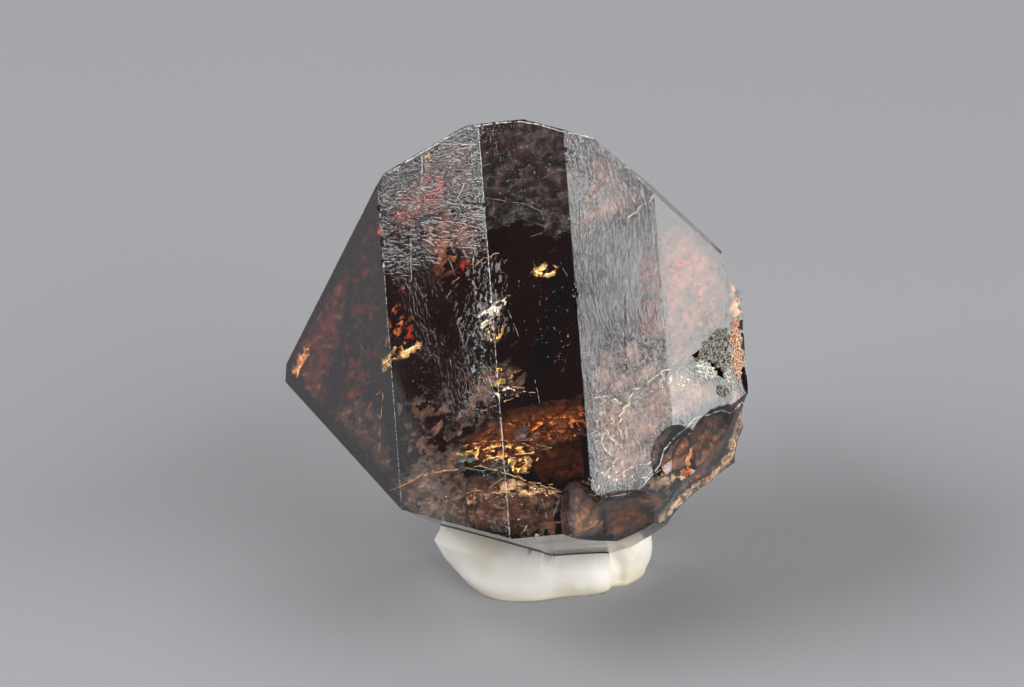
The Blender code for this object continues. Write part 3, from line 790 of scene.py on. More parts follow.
def tattered(x, y, along, over, tint, whole, outline, seed):
    """Which points of a grid are in a crack's sheet, in tatters, and how brightly each glows."""
    _, _, foil, drawn_out = TINTS[tint]
    ragged_x = x + EDGE_RAGGED * cloudy(x, y, EDGE_SIZE, seed)
    ragged_y = y + EDGE_RAGGED * cloudy(x, y, EDGE_SIZE, seed + SEED_ACROSS)
    inside = inside_outline(ragged_x, ragged_y, outline)
    # A foil ends sharply in scraps, and a dusty stain fades away, over half of a small sheet at most.
    dusty = 1 - foil
    far = far_inside(ragged_x, ragged_y, outline)
    glow = np.clip(far / min(1 + FADE * dusty, 0.5 * far[inside].max(initial=2.0)), 0, 1)
    if inside.any():
        scraps = SCRAPS[0] + (SCRAPS[1] - SCRAPS[0]) * whole**2
        tatter = cloudy(along, over * drawn_out, scraps, seed + SEED_TATTER, 5)
        tatter = tatter + CRUMBS * cloudy(x, y, CRUMB_SIZE, seed + SEED_CRUMB, 2)
        least = np.quantile(tatter[inside], 1 - whole)
        glow = glow * np.clip((tatter - least) / (TEAR + THINNING * dusty), 0, 1)
        mottle = cloudy(along, over * drawn_out, MOTTLE_SIZE, seed + SEED_MOTTLE, 6, MOTTLE_SMOOTH)
        glow = glow * (1 - dusty * MOTTLE_DARK * np.clip(0.5 - MOTTLE_SHARP * mottle, 0, 1))
        inside &= glow > FAINTEST
    return inside, glow


def crack_sheet(name, tint, light, facing, depth, whole, grain, outline, surface, side=FRONT, grid=GRID):
    """The points, normals, faces, grain coordinates and tint of one healed crack."""
    seed = seed_of(name)
    x, y = grid_over(outline, MARGIN, grid)
    turn = math.radians(grain)
    along = (x * math.cos(turn) - y * math.sin(turn)) / PIXELS_PER_MM
    over = (x * math.sin(turn) + y * math.cos(turn)) / PIXELS_PER_MM
    inside, glow = tattered(x, y, along, over, tint, whole, outline, seed)
    deep = depth + WAVE * cloudy(x, y, WAVE_LENGTH, seed + SEED_WAVE, 2).ravel()
    entry, inward, outward = lines_of_sight(x.ravel(), y.ravel(), side, surface)
    points = into_scene(entry + inward * np.maximum(deep, SHALLOWEST)[:, None] * MM)
    # Its flakes face the light, shaken a little, whichever way the sheet as a whole runs.
    shaken = [
        SHAKEN * cloudy(x, y, SHAKEN_SIZE, seed + SEED_SHAKEN + axis, 3).ravel() for axis in range(3)
    ]
    normals = outward + facing * (facing_light(inward, outward, light) - outward) + np.stack(shaken, axis=1)
    normals = normals / np.linalg.norm(normals, axis=1)[:, None] @ np.array(LEAN.to_3x3()).T
    keep = inside.ravel()
    if side is not FRONT:
        # A crack drawn at random stays off the flats that the photo shows.
        keep &= outward @ TO_OWN @ np.array(VIEW_AWAY) > 0
    keep[keep] = is_inside(points[keep], surface)
    faces = cells_between(keep.reshape(x.shape), points, TORN_APART)
    used, faces = np.unique(faces, return_inverse=True)
    glow = glow.ravel()[used][:, None]
    return {
        "points": points[used],
        "normals": normals[used],
        "faces": faces.reshape(-1, 4),
        "grain": np.stack([along.ravel()[used], over.ravel()[used]], axis=1),
        "shade": glow * np.array(linear(TINTS[tint][0])),
        "gleam": glow * np.array(linear(TINTS[tint][1])),
        "foil": np.full(len(used), TINTS[tint][2]),
    }


def healed_crack_finish():
    """A healed crack: a film of trapped fluid and iron stain that flashes like foil when it faces light."""
    finish = bpy.data.materials.new("healed_crack")
    finish.use_nodes = True
    tree = finish.node_tree
    shader = tree.nodes["Principled BSDF"]
    shade, gleam, foil = (
        add(tree, "ShaderNodeAttribute", attribute_name=kind) for kind in ("shade", "gleam", "foil")
    )
    # Fibres about 0.3 mm long and 0.1 mm wide, along the grain.
    grain = add(tree, "ShaderNodeUVMap", uv_map="grain")
    stretched = add(tree, "ShaderNodeMapping", {"Vector": grain, "Scale": (1.0, 3.2, 1.0)})
    fibres = add(
        tree,
        "ShaderNodeTexNoise",
        {"Vector": stretched, "Scale": 3.0, "Detail": 3.0, "Roughness": 0.6, "Distortion": 0.8},
    )
    bright = add(tree, "ShaderNodeMapRange", {"Value": fibres, "From Min": 0.34, "From Max": 0.62}, **EASED)
    colour = add(tree, "ShaderNodeMix", {"Factor": bright, "A": shade, "B": gleam}, data_type="RGBA")
    height = add(tree, "ShaderNodeMath", {0: fibres, 1: 0.006 * MM}, operation="MULTIPLY")
    relief = add(tree, "ShaderNodeBump", {"Height": height, "Distance": 1.0})
    roughness = add(
        tree,
        "ShaderNodeMapRange",
        {"Value": fibres, "From Min": 0.3, "From Max": 0.7, "To Min": 0.34, "To Max": 0.18},
        **EASED,
    )
    looks = {"Base Color": colour, "Normal": relief, "Roughness": roughness, "Metallic": foil.outputs["Fac"]}
    feed(tree, shader, looks)
    return finish


def sheets_piece(name, sheets, finish):
    """One piece from the points and faces of several sheets, with their tints and grain."""
    sheets = [sheet for sheet in sheets if len(sheet["faces"])]
    starts = np.cumsum([0] + [len(sheet["points"]) for sheet in sheets])
    points = np.concatenate([sheet["points"] for sheet in sheets])
    faces = np.concatenate([sheet["faces"] + start for sheet, start in zip(sheets, starts)])
    mesh = bpy.data.meshes.new(name)
    mesh.from_pydata(points.tolist(), [], faces.tolist())
    for kind in ("shade", "gleam"):
        colours = mesh.attributes.new(kind, "FLOAT_COLOR", "POINT")
        colours.data.foreach_set("color", np.concatenate([s[kind] for s in sheets]).ravel())
    foil = mesh.attributes.new("foil", "FLOAT", "POINT")
    foil.data.foreach_set("value", np.concatenate([s["foil"] for s in sheets]))
    grain = np.concatenate([sheet["grain"] for sheet in sheets])
    layer = mesh.uv_layers.new(name="grain")
    corner_points = np.empty(len(mesh.loops), dtype=np.int32)
    mesh.loops.foreach_get("vertex_index", corner_points)
    layer.data.foreach_set("uv", grain[corner_points].astype(np.float32).ravel())
    mesh.shade_smooth()
    mesh.normals_split_custom_set_from_vertices(np.concatenate([s["normals"] for s in sheets]).tolist())
    part_of_crystal(new_piece(name, mesh, finish))


# The cracks that the photo's view doesn't show: degrees round and up, number of them.
OTHER_SIDES = {
    "left_side": (-85, 0, 12),
    "right_side": (80, 0, 12),
    "back": (175, 0, 22),
    "top": (20, 50, 12),
}
OTHER_TINTS = ("brown", "maroon", "red", "orange", "gold", "mauve", "tan", "umber")
OTHER_GRID, OTHER_CORNERS = 1.8, 9
# Each is drawn between two limits: its middle and half its length in pixels, how slim it is, how
# far each corner strays, its depth in millimetres, and the share left whole.
OTHER_MIDDLE = (400, 200), (640, 480)
OTHER_LENGTH, OTHER_SLIM, OTHER_STRAY = (25, 75), (0.25, 0.6), (0.7, 1.1)
OTHER_DEPTH, OTHER_WHOLE = (0.2, 1.4), (0.5, 0.85)


def other_sheets(surface):
    """Healed cracks drawn at random for the sides that the photo doesn't show."""
    draw = np.random.default_rng(3)
    for side, (azimuth, height, count) in OTHER_SIDES.items():
        for number in range(count):
            x, y = draw.uniform(*OTHER_MIDDLE)
            long, slim = draw.uniform(*OTHER_LENGTH), draw.uniform(*OTHER_SLIM)
            turn = draw.uniform(0, math.pi)
            across, down = math.cos(turn), math.sin(turn)
            outline = []
            for corner in range(OTHER_CORNERS):
                angle = 2 * math.pi * corner / OTHER_CORNERS
                reach = long * draw.uniform(*OTHER_STRAY)
                along, over = math.cos(angle) * reach, math.sin(angle) * reach * slim
                outline.append((x + along * across - over * down, y + along * down + over * across))
            tint = OTHER_TINTS[draw.integers(len(OTHER_TINTS))]
            light = list(LIGHTS)[draw.integers(len(LIGHTS))]
            depth, whole = draw.uniform(*OTHER_DEPTH), draw.uniform(*OTHER_WHOLE)
            row = (tint, light, 1.0, depth, whole, math.degrees(turn), outline)
            name = side + str(number)
            yield crack_sheet(name, *row, surface, seen_from(azimuth, height), OTHER_GRID)


def make_healed_cracks(surface):
    """All the healed cracks: those that the photo shows, and those of the other sides."""
    finish = healed_crack_finish()
    sheets_piece("healed_cracks", [crack_sheet(name, *row, surface) for name, row in CRACKS.items()], finish)
    sheets_piece("hidden_healed_cracks", list(other_sheets(surface)), finish)


# Threads: needles, the bright edges of cracks, and scratches

# Thickness and depth in millimetres, jitter in pixels, share that is drawn, colour. A depth under 0
# stands on the surface.
THREAD_KINDS = {
    "needle": (0.045, 0.25, 0.0, 1.0, "ffd890"),
    "ember": (0.06, 0.7, 0.5, 0.8, "ff9a50"),
    "vein": (0.045, -0.003, 1.5, 0.7, "e8b47c"),
    "white_vein": (0.06, -0.006, 2.2, 0.8, "fff0dc"),
    "pale_crack": (0.03, -0.003, 0.6, 0.9, "a8a4a0"),
    "ridge_line": (0.045, -0.004, 0.5, 0.95, "d8d8d8"),
    "rim_line": (0.07, -0.01, 0.4, 0.9, "f0ece6"),
    "scratch": (0.010, -0.002, 0.2, 0.8, "6c6c6c"),
    "dark_scratch": (0.035, -0.004, 0.3, 0.85, "181414"),
}

THREADS = {
    "needle": (
        ((411, 239), (411.5, 281)),
        ((426, 160), (426, 176)),
        ((706, 307.5), (723.7, 284.5)),
        ((544, 232), (530, 237)),
    ),
    "ember": (
        ((530, 238), (543, 234), (556, 231)),
        ((367, 452), (367, 476)),
        ((363.5, 236), (363.5, 248)),
        ((347, 280), (347, 288)),
        ((347, 294), (347, 302)),
        ((436, 196), (436, 207)),
        ((384, 330), (392, 312), (397, 305)),
        ((390, 345), (402, 330), (410, 316)),
        ((455, 447), (480, 438), (503, 424), (530, 417), (560, 412), (586, 408)),
        ((500, 443), (530, 445), (552, 438), (586, 427)),
    ),
    "vein": (
        ((441, 291), (459.6, 277), (483.5, 258.7), (499, 253)),
        ((381, 390), (372, 402), (363, 414)),
        ((383, 390), (381, 420), (379, 452)),
        ((390, 491), (408, 483), (424, 474), (440, 472), (462, 467), (481, 466), (503, 472), (519, 477),
            (535, 485), (562, 490)),
        ((398, 488), (422, 476), (446, 471), (478, 466), (492, 469), (506, 474), (534, 483), (555, 486)),
        ((463, 493), (487, 489), (503, 478)),
        ((467, 493), (506, 493), (541, 495), (562, 491)),
        ((497, 387), (513, 387), (534, 389)),
        ((481, 412), (499, 404), (519, 396)),
        ((457, 448), (478, 443), (500, 440), (520, 444), (551, 447)),
        ((510, 457), (521, 470), (531, 458)),
        ((521, 534), (532, 521)),
        ((673, 453), (688, 457), (687, 470)),
        ((655, 473), (668, 467), (680, 468)),
        ((690, 488), (708, 476), (722, 462), (734, 446), (742, 424)),
        ((676, 508), (694, 494), (712, 480)),
        ((568, 536), (590, 528), (604, 518)),
        ((640, 520), (656, 508), (668, 498)),
    ),
    "white_vein": (
        ((624, 409), (632, 393.6), (647, 382), (664, 370.6), (681.6, 366.8), (693, 374.5)),
        ((620, 417), (627, 405), (631, 398)),
        ((622, 473), (633, 467), (647, 463), (655, 460)),
        ((632, 480), (648, 477), (655, 470)),
        ((595, 493), (604, 478), (613, 463), (618, 458)),
        ((618, 219), (626, 217.6), (640, 208), (655, 195.6)),
        ((605, 430), (612, 440), (622, 447), (612, 452)),
        ((590, 400), (606, 396), (622, 404)),
        ((660, 372), (668, 380), (676, 372), (684, 382)),
        ((596, 420), (604, 432), (602, 446), (612, 458)),
        ((624, 412), (618, 426), (622, 438)),
    ),
    "pale_crack": (
        ((437, 229), (452.6, 249)),
        ((447, 254.5), (451, 264), (455.4, 275.6)),
        ((472, 236), (476.4, 257)),
        ((445.6, 298), (458, 284)),
        ((457, 322), (463, 342), (470, 364)),
        ((472, 303), (475, 313)),
        ((508, 310), (519, 337)),
        ((560, 262), (567, 276)),
        ((542, 499), (547, 520)),
        ((551, 523), (559, 499)),
        ((488, 501), (502, 509)),
        ((497, 522), (508, 528)),
        ((487, 198), (506, 201), (526, 204), (541, 211), (546, 227)),
        ((535, 380), (540, 404)),
        ((467, 468), (484, 471), (500, 460)),
        ((484, 471), (508, 466)),
        ((668, 266), (678, 269)),
        ((360, 344), (363, 350), (360, 354)),
        ((590, 212), (596, 204)),
    ),
    "ridge_line": (
        ((441, 144), (460, 144.5), (477, 144.5)),
        ((422, 156), (422, 187), (431.5, 188), (438.5, 181.5)),
        ((447, 203), (457, 200.5), (462, 190), (464.5, 184)),
        ((436, 171), (440, 173), (444, 172)),
        ((471, 212), (483.5, 209)),
        ((468, 157), (476, 155)),
    ),
    "rim_line": (
        ((389, 173), (410, 160), (441, 141.5), (462, 130), (481, 125.5)),
        ((483, 125), (505, 122.5), (520, 121.5), (540, 125), (560, 131), (568, 132.5)),
        ((568, 132.5), (582, 135.5), (596, 139.5), (620, 160), (640, 180), (656, 196)),
        ((589, 494), (606, 497), (628, 493.5), (641, 488), (655, 471), (660, 464), (664, 450), (674, 438),
            (686, 428), (694, 419), (707, 415), (721, 410), (731, 413)),
        ((731, 413), (742, 402), (745, 410)),
    ),
    "dark_scratch": (
        ((568.7, 150.6), (579, 159)),
        ((625, 292), (625, 346), (628, 388)),
        ((643, 346), (643, 361)),
        ((680, 420), (687, 428)),
    ),
}

# Hair scratches, drawn at random: number, outline in pixels, angle and its spread in degrees, length.
SCRATCHED = {
    "dark_face": (70, ((397, 348), (480, 348), (492, 443), (400, 443)), 25, 60, 16),
    "front_middle": (8, ((492, 245), (572, 250), (582, 400), (500, 400)), 55, 30, 20),
    "front_foot": (22, ((465, 497), (560, 497), (560, 532), (470, 520)), 75, 40, 14),
    "front_top": (8, ((488, 200), (566, 215), (570, 250), (492, 250)), 20, 50, 18),
    "right_steep": (16, ((580, 250), (650, 250), (655, 370), (590, 370)), 80, 14, 26),
    "right_pyramid": (10, ((668, 230), (715, 260), (720, 320), (672, 360)), 60, 25, 30),
    "left_pyramid": (14, ((330, 300), (372, 220), (380, 400), (350, 430)), 70, 30, 22),
}


THREAD_STEP = 1.2  # pixels between a thread's points
# Pixels: how often a thread bends, swells and is interrupted.
BEND_LENGTH, SWELL_LENGTH, BREAK_LENGTH = 5.0, 4.0, 9.0
# A thread's usual thickness and how much it swells, then its least and most.
SWELL_MIDDLE, SWELL_SHARE, THINNEST, THICKEST = 0.75, 0.9, 0.2, 1.5
FEWEST_POINTS = 3  # in one run of a thread
SEED_DOWN, SEED_SWELL, SEED_BREAK = 40, 11, 23
SEED_STEP = 3.7  # from one thread to the next
SCRATCH_LENGTH = 0.3, 1.2  # the shortest and longest scratch, as shares of the usual length
SCRATCH_BOW = 0.08  # of its length


def thread_tube(points, radii, colour, sides=5):
    """A thin round thread through points in the scene."""
    ahead = np.gradient(points, axis=0)
    ahead /= np.linalg.norm(ahead, axis=1)[:, None] + 1e-12
    side = np.cross(ahead, np.array(VIEW_AWAY))
    side /= np.linalg.norm(side, axis=1)[:, None] + 1e-12
    third = np.cross(side, ahead)
    rings = []
    for number in range(sides):
        turn = 2 * math.pi * number / sides
        rings.append(points + (side * math.cos(turn) + third * math.sin(turn)) * radii[:, None])
    tube = np.stack(rings, axis=1).reshape(-1, 3)
    count = len(points)
    faces = []
    for row in range(count - 1):
        for number in range(sides):
            beside = (number + 1) % sides
            a, b = row * sides + number, row * sides + beside
            faces.append((a, a + sides, b + sides, b))
    # A point in the middle of each end closes it.
    tube = np.concatenate([tube, points[[0, count - 1]]])
    first_end, last_end, last = len(tube) - 2, len(tube) - 1, (count - 1) * sides
    for number in range(sides):
        beside = (number + 1) % sides
        faces.append((first_end, number, beside))
        faces.append((last_end, last + beside, last + number))
    return tube, faces, linear(colour)


def drawn_through(corners, jitter, seed):
    """Points about a pixel apart along a line through some corners, shaken a little."""
    corners = np.array(corners, dtype=float)
    lengths = np.hypot(*np.diff(corners, axis=0).T)
    at = np.concatenate([[0], np.cumsum(lengths)])
    steps = np.arange(0, at[-1] + 0.5, THREAD_STEP)
    x, y = (np.interp(steps, at, corners[:, axis]) for axis in (0, 1))
    x = x + jitter * cloudy(steps, steps * 0, BEND_LENGTH, seed)
    y = y + jitter * cloudy(steps, steps * 0, BEND_LENGTH, seed + SEED_DOWN)
    return x, y, steps


def make_thread(kind, corners, seed, surface):
    """One needle, crack edge or scratch, as broken runs of a thin tube."""
    thickness, depth, jitter, share, colour = THREAD_KINDS[kind]
    x, y, steps = drawn_through(corners, jitter, seed)
    points = seen_at(x, y, depth, surface)
    swell = cloudy(steps, steps * 0, SWELL_LENGTH, seed + SEED_SWELL, 3)
    radii = thickness / 2 * MM * np.clip(SWELL_MIDDLE + SWELL_SHARE * swell, THINNEST, THICKEST)
    if share < 1:
        drawn = cloudy(steps, steps * 0, BREAK_LENGTH, seed + SEED_BREAK, 2)
        shown = drawn >= np.quantile(drawn, 1 - share)
    else:
        shown = np.ones(len(x), dtype=bool)
        radii[:] = thickness / 2 * MM
    if depth > 0:
        shown &= is_inside(points, surface)
    else:
        shown &= [surface.find_nearest(Vector(point))[3] < ON_SURFACE for point in points]
    # Past the crystal's outline the next point lands far from the last, so the thread breaks there.
    leap = np.linalg.norm(np.diff(points, axis=0, prepend=points[:1]), axis=1)
    shown &= leap < LONGEST_LEAP
    runs = []
    start = None
    for number in range(len(x) + 1):
        if number < len(x) and shown[number]:
            start = number if start is None else start
        elif start is not None:
            if number - start >= FEWEST_POINTS:
                runs.append(thread_tube(points[start:number], radii[start:number], colour))
            start = None
    return runs


def scratch_corners():
    """The ends of the hair scratches."""
    draw = np.random.default_rng(7)
    for count, outline, angle, either_way, length in SCRATCHED.values():
        xs, ys = zip(*outline)
        made = 0
        while made < count:
            x, y = draw.uniform(min(xs), max(xs)), draw.uniform(min(ys), max(ys))
            turn = math.radians(angle + draw.uniform(-either_way, either_way))
            long = length * draw.uniform(*SCRATCH_LENGTH)
            if inside_outline(np.array([x]), np.array([y]), outline)[0]:
                bow = draw.uniform(-SCRATCH_BOW, SCRATCH_BOW) * long
                across, down = math.cos(turn), -math.sin(turn)
                yield (
                    (x, y),
                    (x + across * long / 2 - down * bow, y + down * long / 2 + across * bow),
                    (x + across * long, y + down * long),
                )
                made += 1


def thread_finish():
    """Bright hairs: the lip of a crack, a scratch or a fine needle, which gleam along their length."""
    finish = bpy.data.materials.new("bright_hair")
    finish.use_nodes = True
    tree = finish.node_tree
    shader = tree.nodes["Principled BSDF"]
    tint = add(tree, "ShaderNodeAttribute", attribute_name="tint")
    beads = add(tree, "ShaderNodeTexNoise", {"Vector": own_millimetres(tree), "Scale": 6.0, "Detail": 2.0})
    dull = add(
        tree,
        "ShaderNodeMapRange",
        {"Value": beads, "From Min": 0.35, "From Max": 0.6, "To Min": 0.35, "To Max": 0.0},
        **EASED,
    )
    colour = add(tree, "ShaderNodeMix", {"Factor": dull, "A": tint, "B": linear("301c10")}, data_type="RGBA")
    roughness = add(
        tree,
        "ShaderNodeMapRange",
        {"Value": beads, "From Min": 0.3, "From Max": 0.7, "To Min": 0.55, "To Max": 0.3},
        **EASED,
    )
    feed(tree, shader, {"Base Color": colour, "Roughness": roughness, "Metallic": 0.5})
    return finish


def make_threads(surface):
    """All the needles, crack edges and scratches: the sealed ones and those on the faces."""
    finish = thread_finish()
    made = {"inner_hairs": [], "surface_scratches": []}
    seed = 1.0
    for kind, lines in THREADS.items():
        group = "inner_hairs" if THREAD_KINDS[kind][1] > 0 else "surface_scratches"
        for corners in lines:
            seed += SEED_STEP
            made[group] += make_thread(kind, corners, seed, surface)
    for corners in scratch_corners():
        seed += SEED_STEP
        made["surface_scratches"] += make_thread("scratch", corners, seed, surface)
    for name, tubes in made.items():
        mesh = bpy.data.meshes.new(name)
        points, faces, tints = [], [], []
        for tube, tube_faces, tint in tubes:
            start = len(points)
            points += tube.tolist()
            faces += [tuple(start + corner for corner in face) for face in tube_faces]
            tints += [tint] * len(tube)
        mesh.from_pydata(points, [], faces)
        colours = mesh.attributes.new("tint", "FLOAT_COLOR", "POINT")
        colours.data.foreach_set("color", np.array(tints).ravel())
        mesh.shade_smooth()
        part_of_crystal(new_piece(name, mesh, finish))


# Loose grains: specks through the crystal, the foreign minerals in its broken corner, and pale grains there
# that are partly painted glints

def scatter_tree(name, finish):
    """Geometry nodes that strew small broken grains over a patch of surface, or a little under it."""
    tree = bpy.data.node_groups.new(name, "GeometryNodeTree")
    tree.interface.new_socket("Patch", in_out="INPUT", socket_type="NodeSocketGeometry")
    labels = ("Grains for each square metre", "Smallest", "Largest", "Least depth", "Most depth", "Flatness")
    for label in labels:
        tree.interface.new_socket(label, in_out="INPUT", socket_type="NodeSocketFloat")
    tree.interface.new_socket("Seed", in_out="INPUT", socket_type="NodeSocketInt")
    tree.interface.new_socket("Grains", in_out="OUTPUT", socket_type="NodeSocketGeometry")
    given = add(tree, "NodeGroupInput").outputs
    seed = given["Seed"]
    spots = add(
        tree,
        "GeometryNodeDistributePointsOnFaces",
        {"Mesh": given["Patch"], "Density": given["Grains for each square metre"], "Seed": seed},
    )
    depth = add(
        tree,
        "FunctionNodeRandomValue",
        {"Min": given["Least depth"], "Max": given["Most depth"], "Seed": seed},
        data_type="FLOAT",
    )
    inward = add(tree, "ShaderNodeMath", {0: depth, 1: -1.0}, operation="MULTIPLY")
    downward = add(
        tree,
        "ShaderNodeVectorMath",
        {0: spots.outputs["Normal"], "Scale": inward},
        operation="SCALE",
    )
    sunk = add(tree, "GeometryNodeSetPosition", {"Geometry": spots, "Offset": downward})
    ball = add(tree, "GeometryNodeMeshIcoSphere", {"Radius": 1.0, "Subdivisions": 1})
    random_turn = add(
        tree,
        "FunctionNodeRandomValue",
        {"Min": (0, 0, 0), "Max": (6.3, 6.3, 6.3), "Seed": seed},
        data_type="FLOAT_VECTOR",
    )
    size = add(
        tree,
        "FunctionNodeRandomValue",
        {"Min": given["Smallest"], "Max": given["Largest"], "Seed": seed},
        data_type="FLOAT",
    )
    slim = add(tree, "ShaderNodeMath", {0: size, 1: 0.7}, operation="MULTIPLY")
    flat = add(tree, "ShaderNodeMath", {0: size, 1: given["Flatness"]}, operation="MULTIPLY")
    shape = add(tree, "ShaderNodeCombineXYZ", {"X": size, "Y": slim, "Z": flat})
    grains = add(
        tree,
        "GeometryNodeInstanceOnPoints",
        {"Points": sunk, "Instance": ball, "Rotation": random_turn.outputs["Value"], "Scale": shape},
    )
    real = add(tree, "GeometryNodeRealizeInstances", {"Geometry": grains})
    finished = add(tree, "GeometryNodeSetMaterial", {"Geometry": real, "Material": finish})
    add(tree, "NodeGroupOutput", {"Grains": finished})
    return tree


def strew(name, patch, finish, **amounts):
    """Grains over a patch, as a plain mesh of their own. Lengths in metres."""
    holder = bpy.data.objects.new(name + "_patch", patch)
    bpy.context.scene.collection.objects.link(holder)
    strewer = holder.modifiers.new("strewer", "NODES")
    tree = scatter_tree(name, finish)
    strewer.node_group = tree
    for item in tree.interface.items_tree:
        key = item.name.lower().replace(" ", "_")
        if item.in_out == "INPUT" and key in amounts:
            strewer[item.identifier] = amounts[key]
    made = holder.evaluated_get(bpy.context.evaluated_depsgraph_get())
    mesh = bpy.data.meshes.new_from_object(made)
    bpy.data.objects.remove(holder)
    part_of_crystal(new_piece(name, mesh, finish))


def mineral_finish(name, shade, gleam, roughness, metallic):
    """A grainy mineral whose small broken faces wink as they turn to the light."""
    finish = bpy.data.materials.new(name)
    finish.use_nodes = True
    tree = finish.node_tree
    shader = tree.nodes["Principled BSDF"]
    own = own_millimetres(tree)
    mottle = add(tree, "ShaderNodeTexNoise", {"Vector": own, "Scale": 13.0, "Detail": 4.0})
    bright = add(tree, "ShaderNodeMapRange", {"Value": mottle, "From Min": 0.4, "From Max": 0.62}, **EASED)
    tints = {"Factor": bright, "A": linear(shade), "B": linear(gleam)}
    colour = add(tree, "ShaderNodeMix", tints, data_type="RGBA")
    smoother = roughness * 0.6
    rough = add(
        tree,
        "ShaderNodeMapRange",
        {"Value": mottle, "From Min": 0.3, "From Max": 0.7, "To Min": roughness, "To Max": smoother},
        **EASED,
    )
    feed(tree, shader, {"Base Color": colour, "Roughness": rough, "Metallic": metallic})
    return finish


POCKET_FILLED_TO = 0.08 * MM  # under the flat that the pocket is sunk in
PATCH_MARGIN = 2  # pixels of grid kept round a patch


def patch_of(outline, surface, name):
    """A patch of the crystal's surface within an outline in pixels, lifted out of any pocket."""
    x, y = grid_over(outline, PATCH_MARGIN, 1)
    ragged_x = x + EDGE_RAGGED * cloudy(x, y, EDGE_SIZE, seed_of(name))
    flush = seen_at(x.ravel(), y.ravel(), 0.0)
    real = seen_at(x.ravel(), y.ravel(), 0.0, surface)
    gap = np.linalg.norm(real - flush, axis=1)[:, None]
    points = flush + (real - flush) * np.minimum(1.0, POCKET_FILLED_TO / np.maximum(gap, 1e-9))
    faces = cells_between(inside_outline(ragged_x, y, outline), points, math.inf)
    mesh = bpy.data.meshes.new(name)
    mesh.from_pydata(points.tolist(), [], faces.tolist())
    return mesh


DARK_GRAIN_SPOT = ((694, 361), (699, 348), (711, 333), (718, 329), (729, 329), (729, 358), (726, 374),
    (718, 371), (712, 362))
# A pale patch of grains, partly a pale mineral and partly painted glints.
PALE_AND_GLINT_SPOT = ((694, 364), (701, 359), (709, 362), (717, 372), (713, 380), (700, 379))
# White grains set where a white glint shows: a painted highlight.
PAINTED_GLINT_SPOT = ((724, 366), (729, 371), (734, 384), (732, 390), (726, 382))
RIM_CHIPS = ((731, 318), (737, 320), (743, 340), (743, 372), (738, 386), (733, 372), (731, 345))
DARK_FOOT_SPOT = ((716, 386), (724, 384), (730, 392), (726, 398), (719, 397))


def make_grains(body, surface):
    """Red-brown specks all through the crystal, and the dark and pale grains in its broken corner. The pale
    grains are partly painted glints; the whitest ones are a painted highlight.
    """
    specks = mineral_finish("rusty_speck", "5a1c0c", "ffc070", 0.35, 0.8)
    strew(
        "specks", body.data.copy(), specks, grains_for_each_square_metre=1.4e6, smallest=0.012 * MM,
        largest=0.045 * MM, least_depth=0.12 * MM, most_depth=0.9 * MM, flatness=0.35, seed=5,
    )
    dark = mineral_finish("dark_mineral", "1c1c18", "b0ac9c", 0.45, 0.0)
    for name, outline, seed in (("dark_grains", DARK_GRAIN_SPOT, 2), ("dark_foot_grains", DARK_FOOT_SPOT, 3)):
        strew(
            name, patch_of(outline, surface, name + "_spot"), dark,
            grains_for_each_square_metre=3.5e8, smallest=0.035 * MM, largest=0.10 * MM,
            least_depth=-0.05 * MM, most_depth=0.02 * MM, flatness=0.8, seed=seed,
        )
    chips = mineral_finish("amber_chips", "a06844", "f0ccac", 0.3, 0.0)
    strew(
        "rim_chips", patch_of(RIM_CHIPS, surface, "rim_chips_spot"), chips,
        grains_for_each_square_metre=2e8, smallest=0.05 * MM, largest=0.16 * MM,
        least_depth=-0.03 * MM, most_depth=0.04 * MM, flatness=0.5, seed=4,
    )
    # Pale grains, partly painted glints, and white grains painted as a highlight.
    pale = mineral_finish("pale_mineral", "8c8474", "fffcf4", 0.4, 0.0)
    for name, outline, seed in (("pale_grains", PALE_AND_GLINT_SPOT, 8), ("white_shard", PAINTED_GLINT_SPOT, 9)):
        strew(
            name, patch_of(outline, surface, name + "_spot"), pale,
            grains_for_each_square_metre=3.5e8, smallest=0.03 * MM, largest=0.11 * MM,
            least_depth=-0.06 * MM, most_depth=0.03 * MM, flatness=0.6, seed=seed,
        )


# Putty

FOLD_X, FOLD_WIDTH, FOLD_DEPTH = 2.78, 0.28, 0.16  # millimetres: the soft fold in its front
DENT_SIZE, DENT_DEPTH = 2.2, 0.10
PRESSED_WITHIN, PRESSED_GAP = 0.75, 0.03
SMOOTHING_ROUNDS = 12
SMOOTHED_ABOVE, DENTED_ABOVE = 0.1 * MM, 0.05 * MM  # its foot stays flat on the table


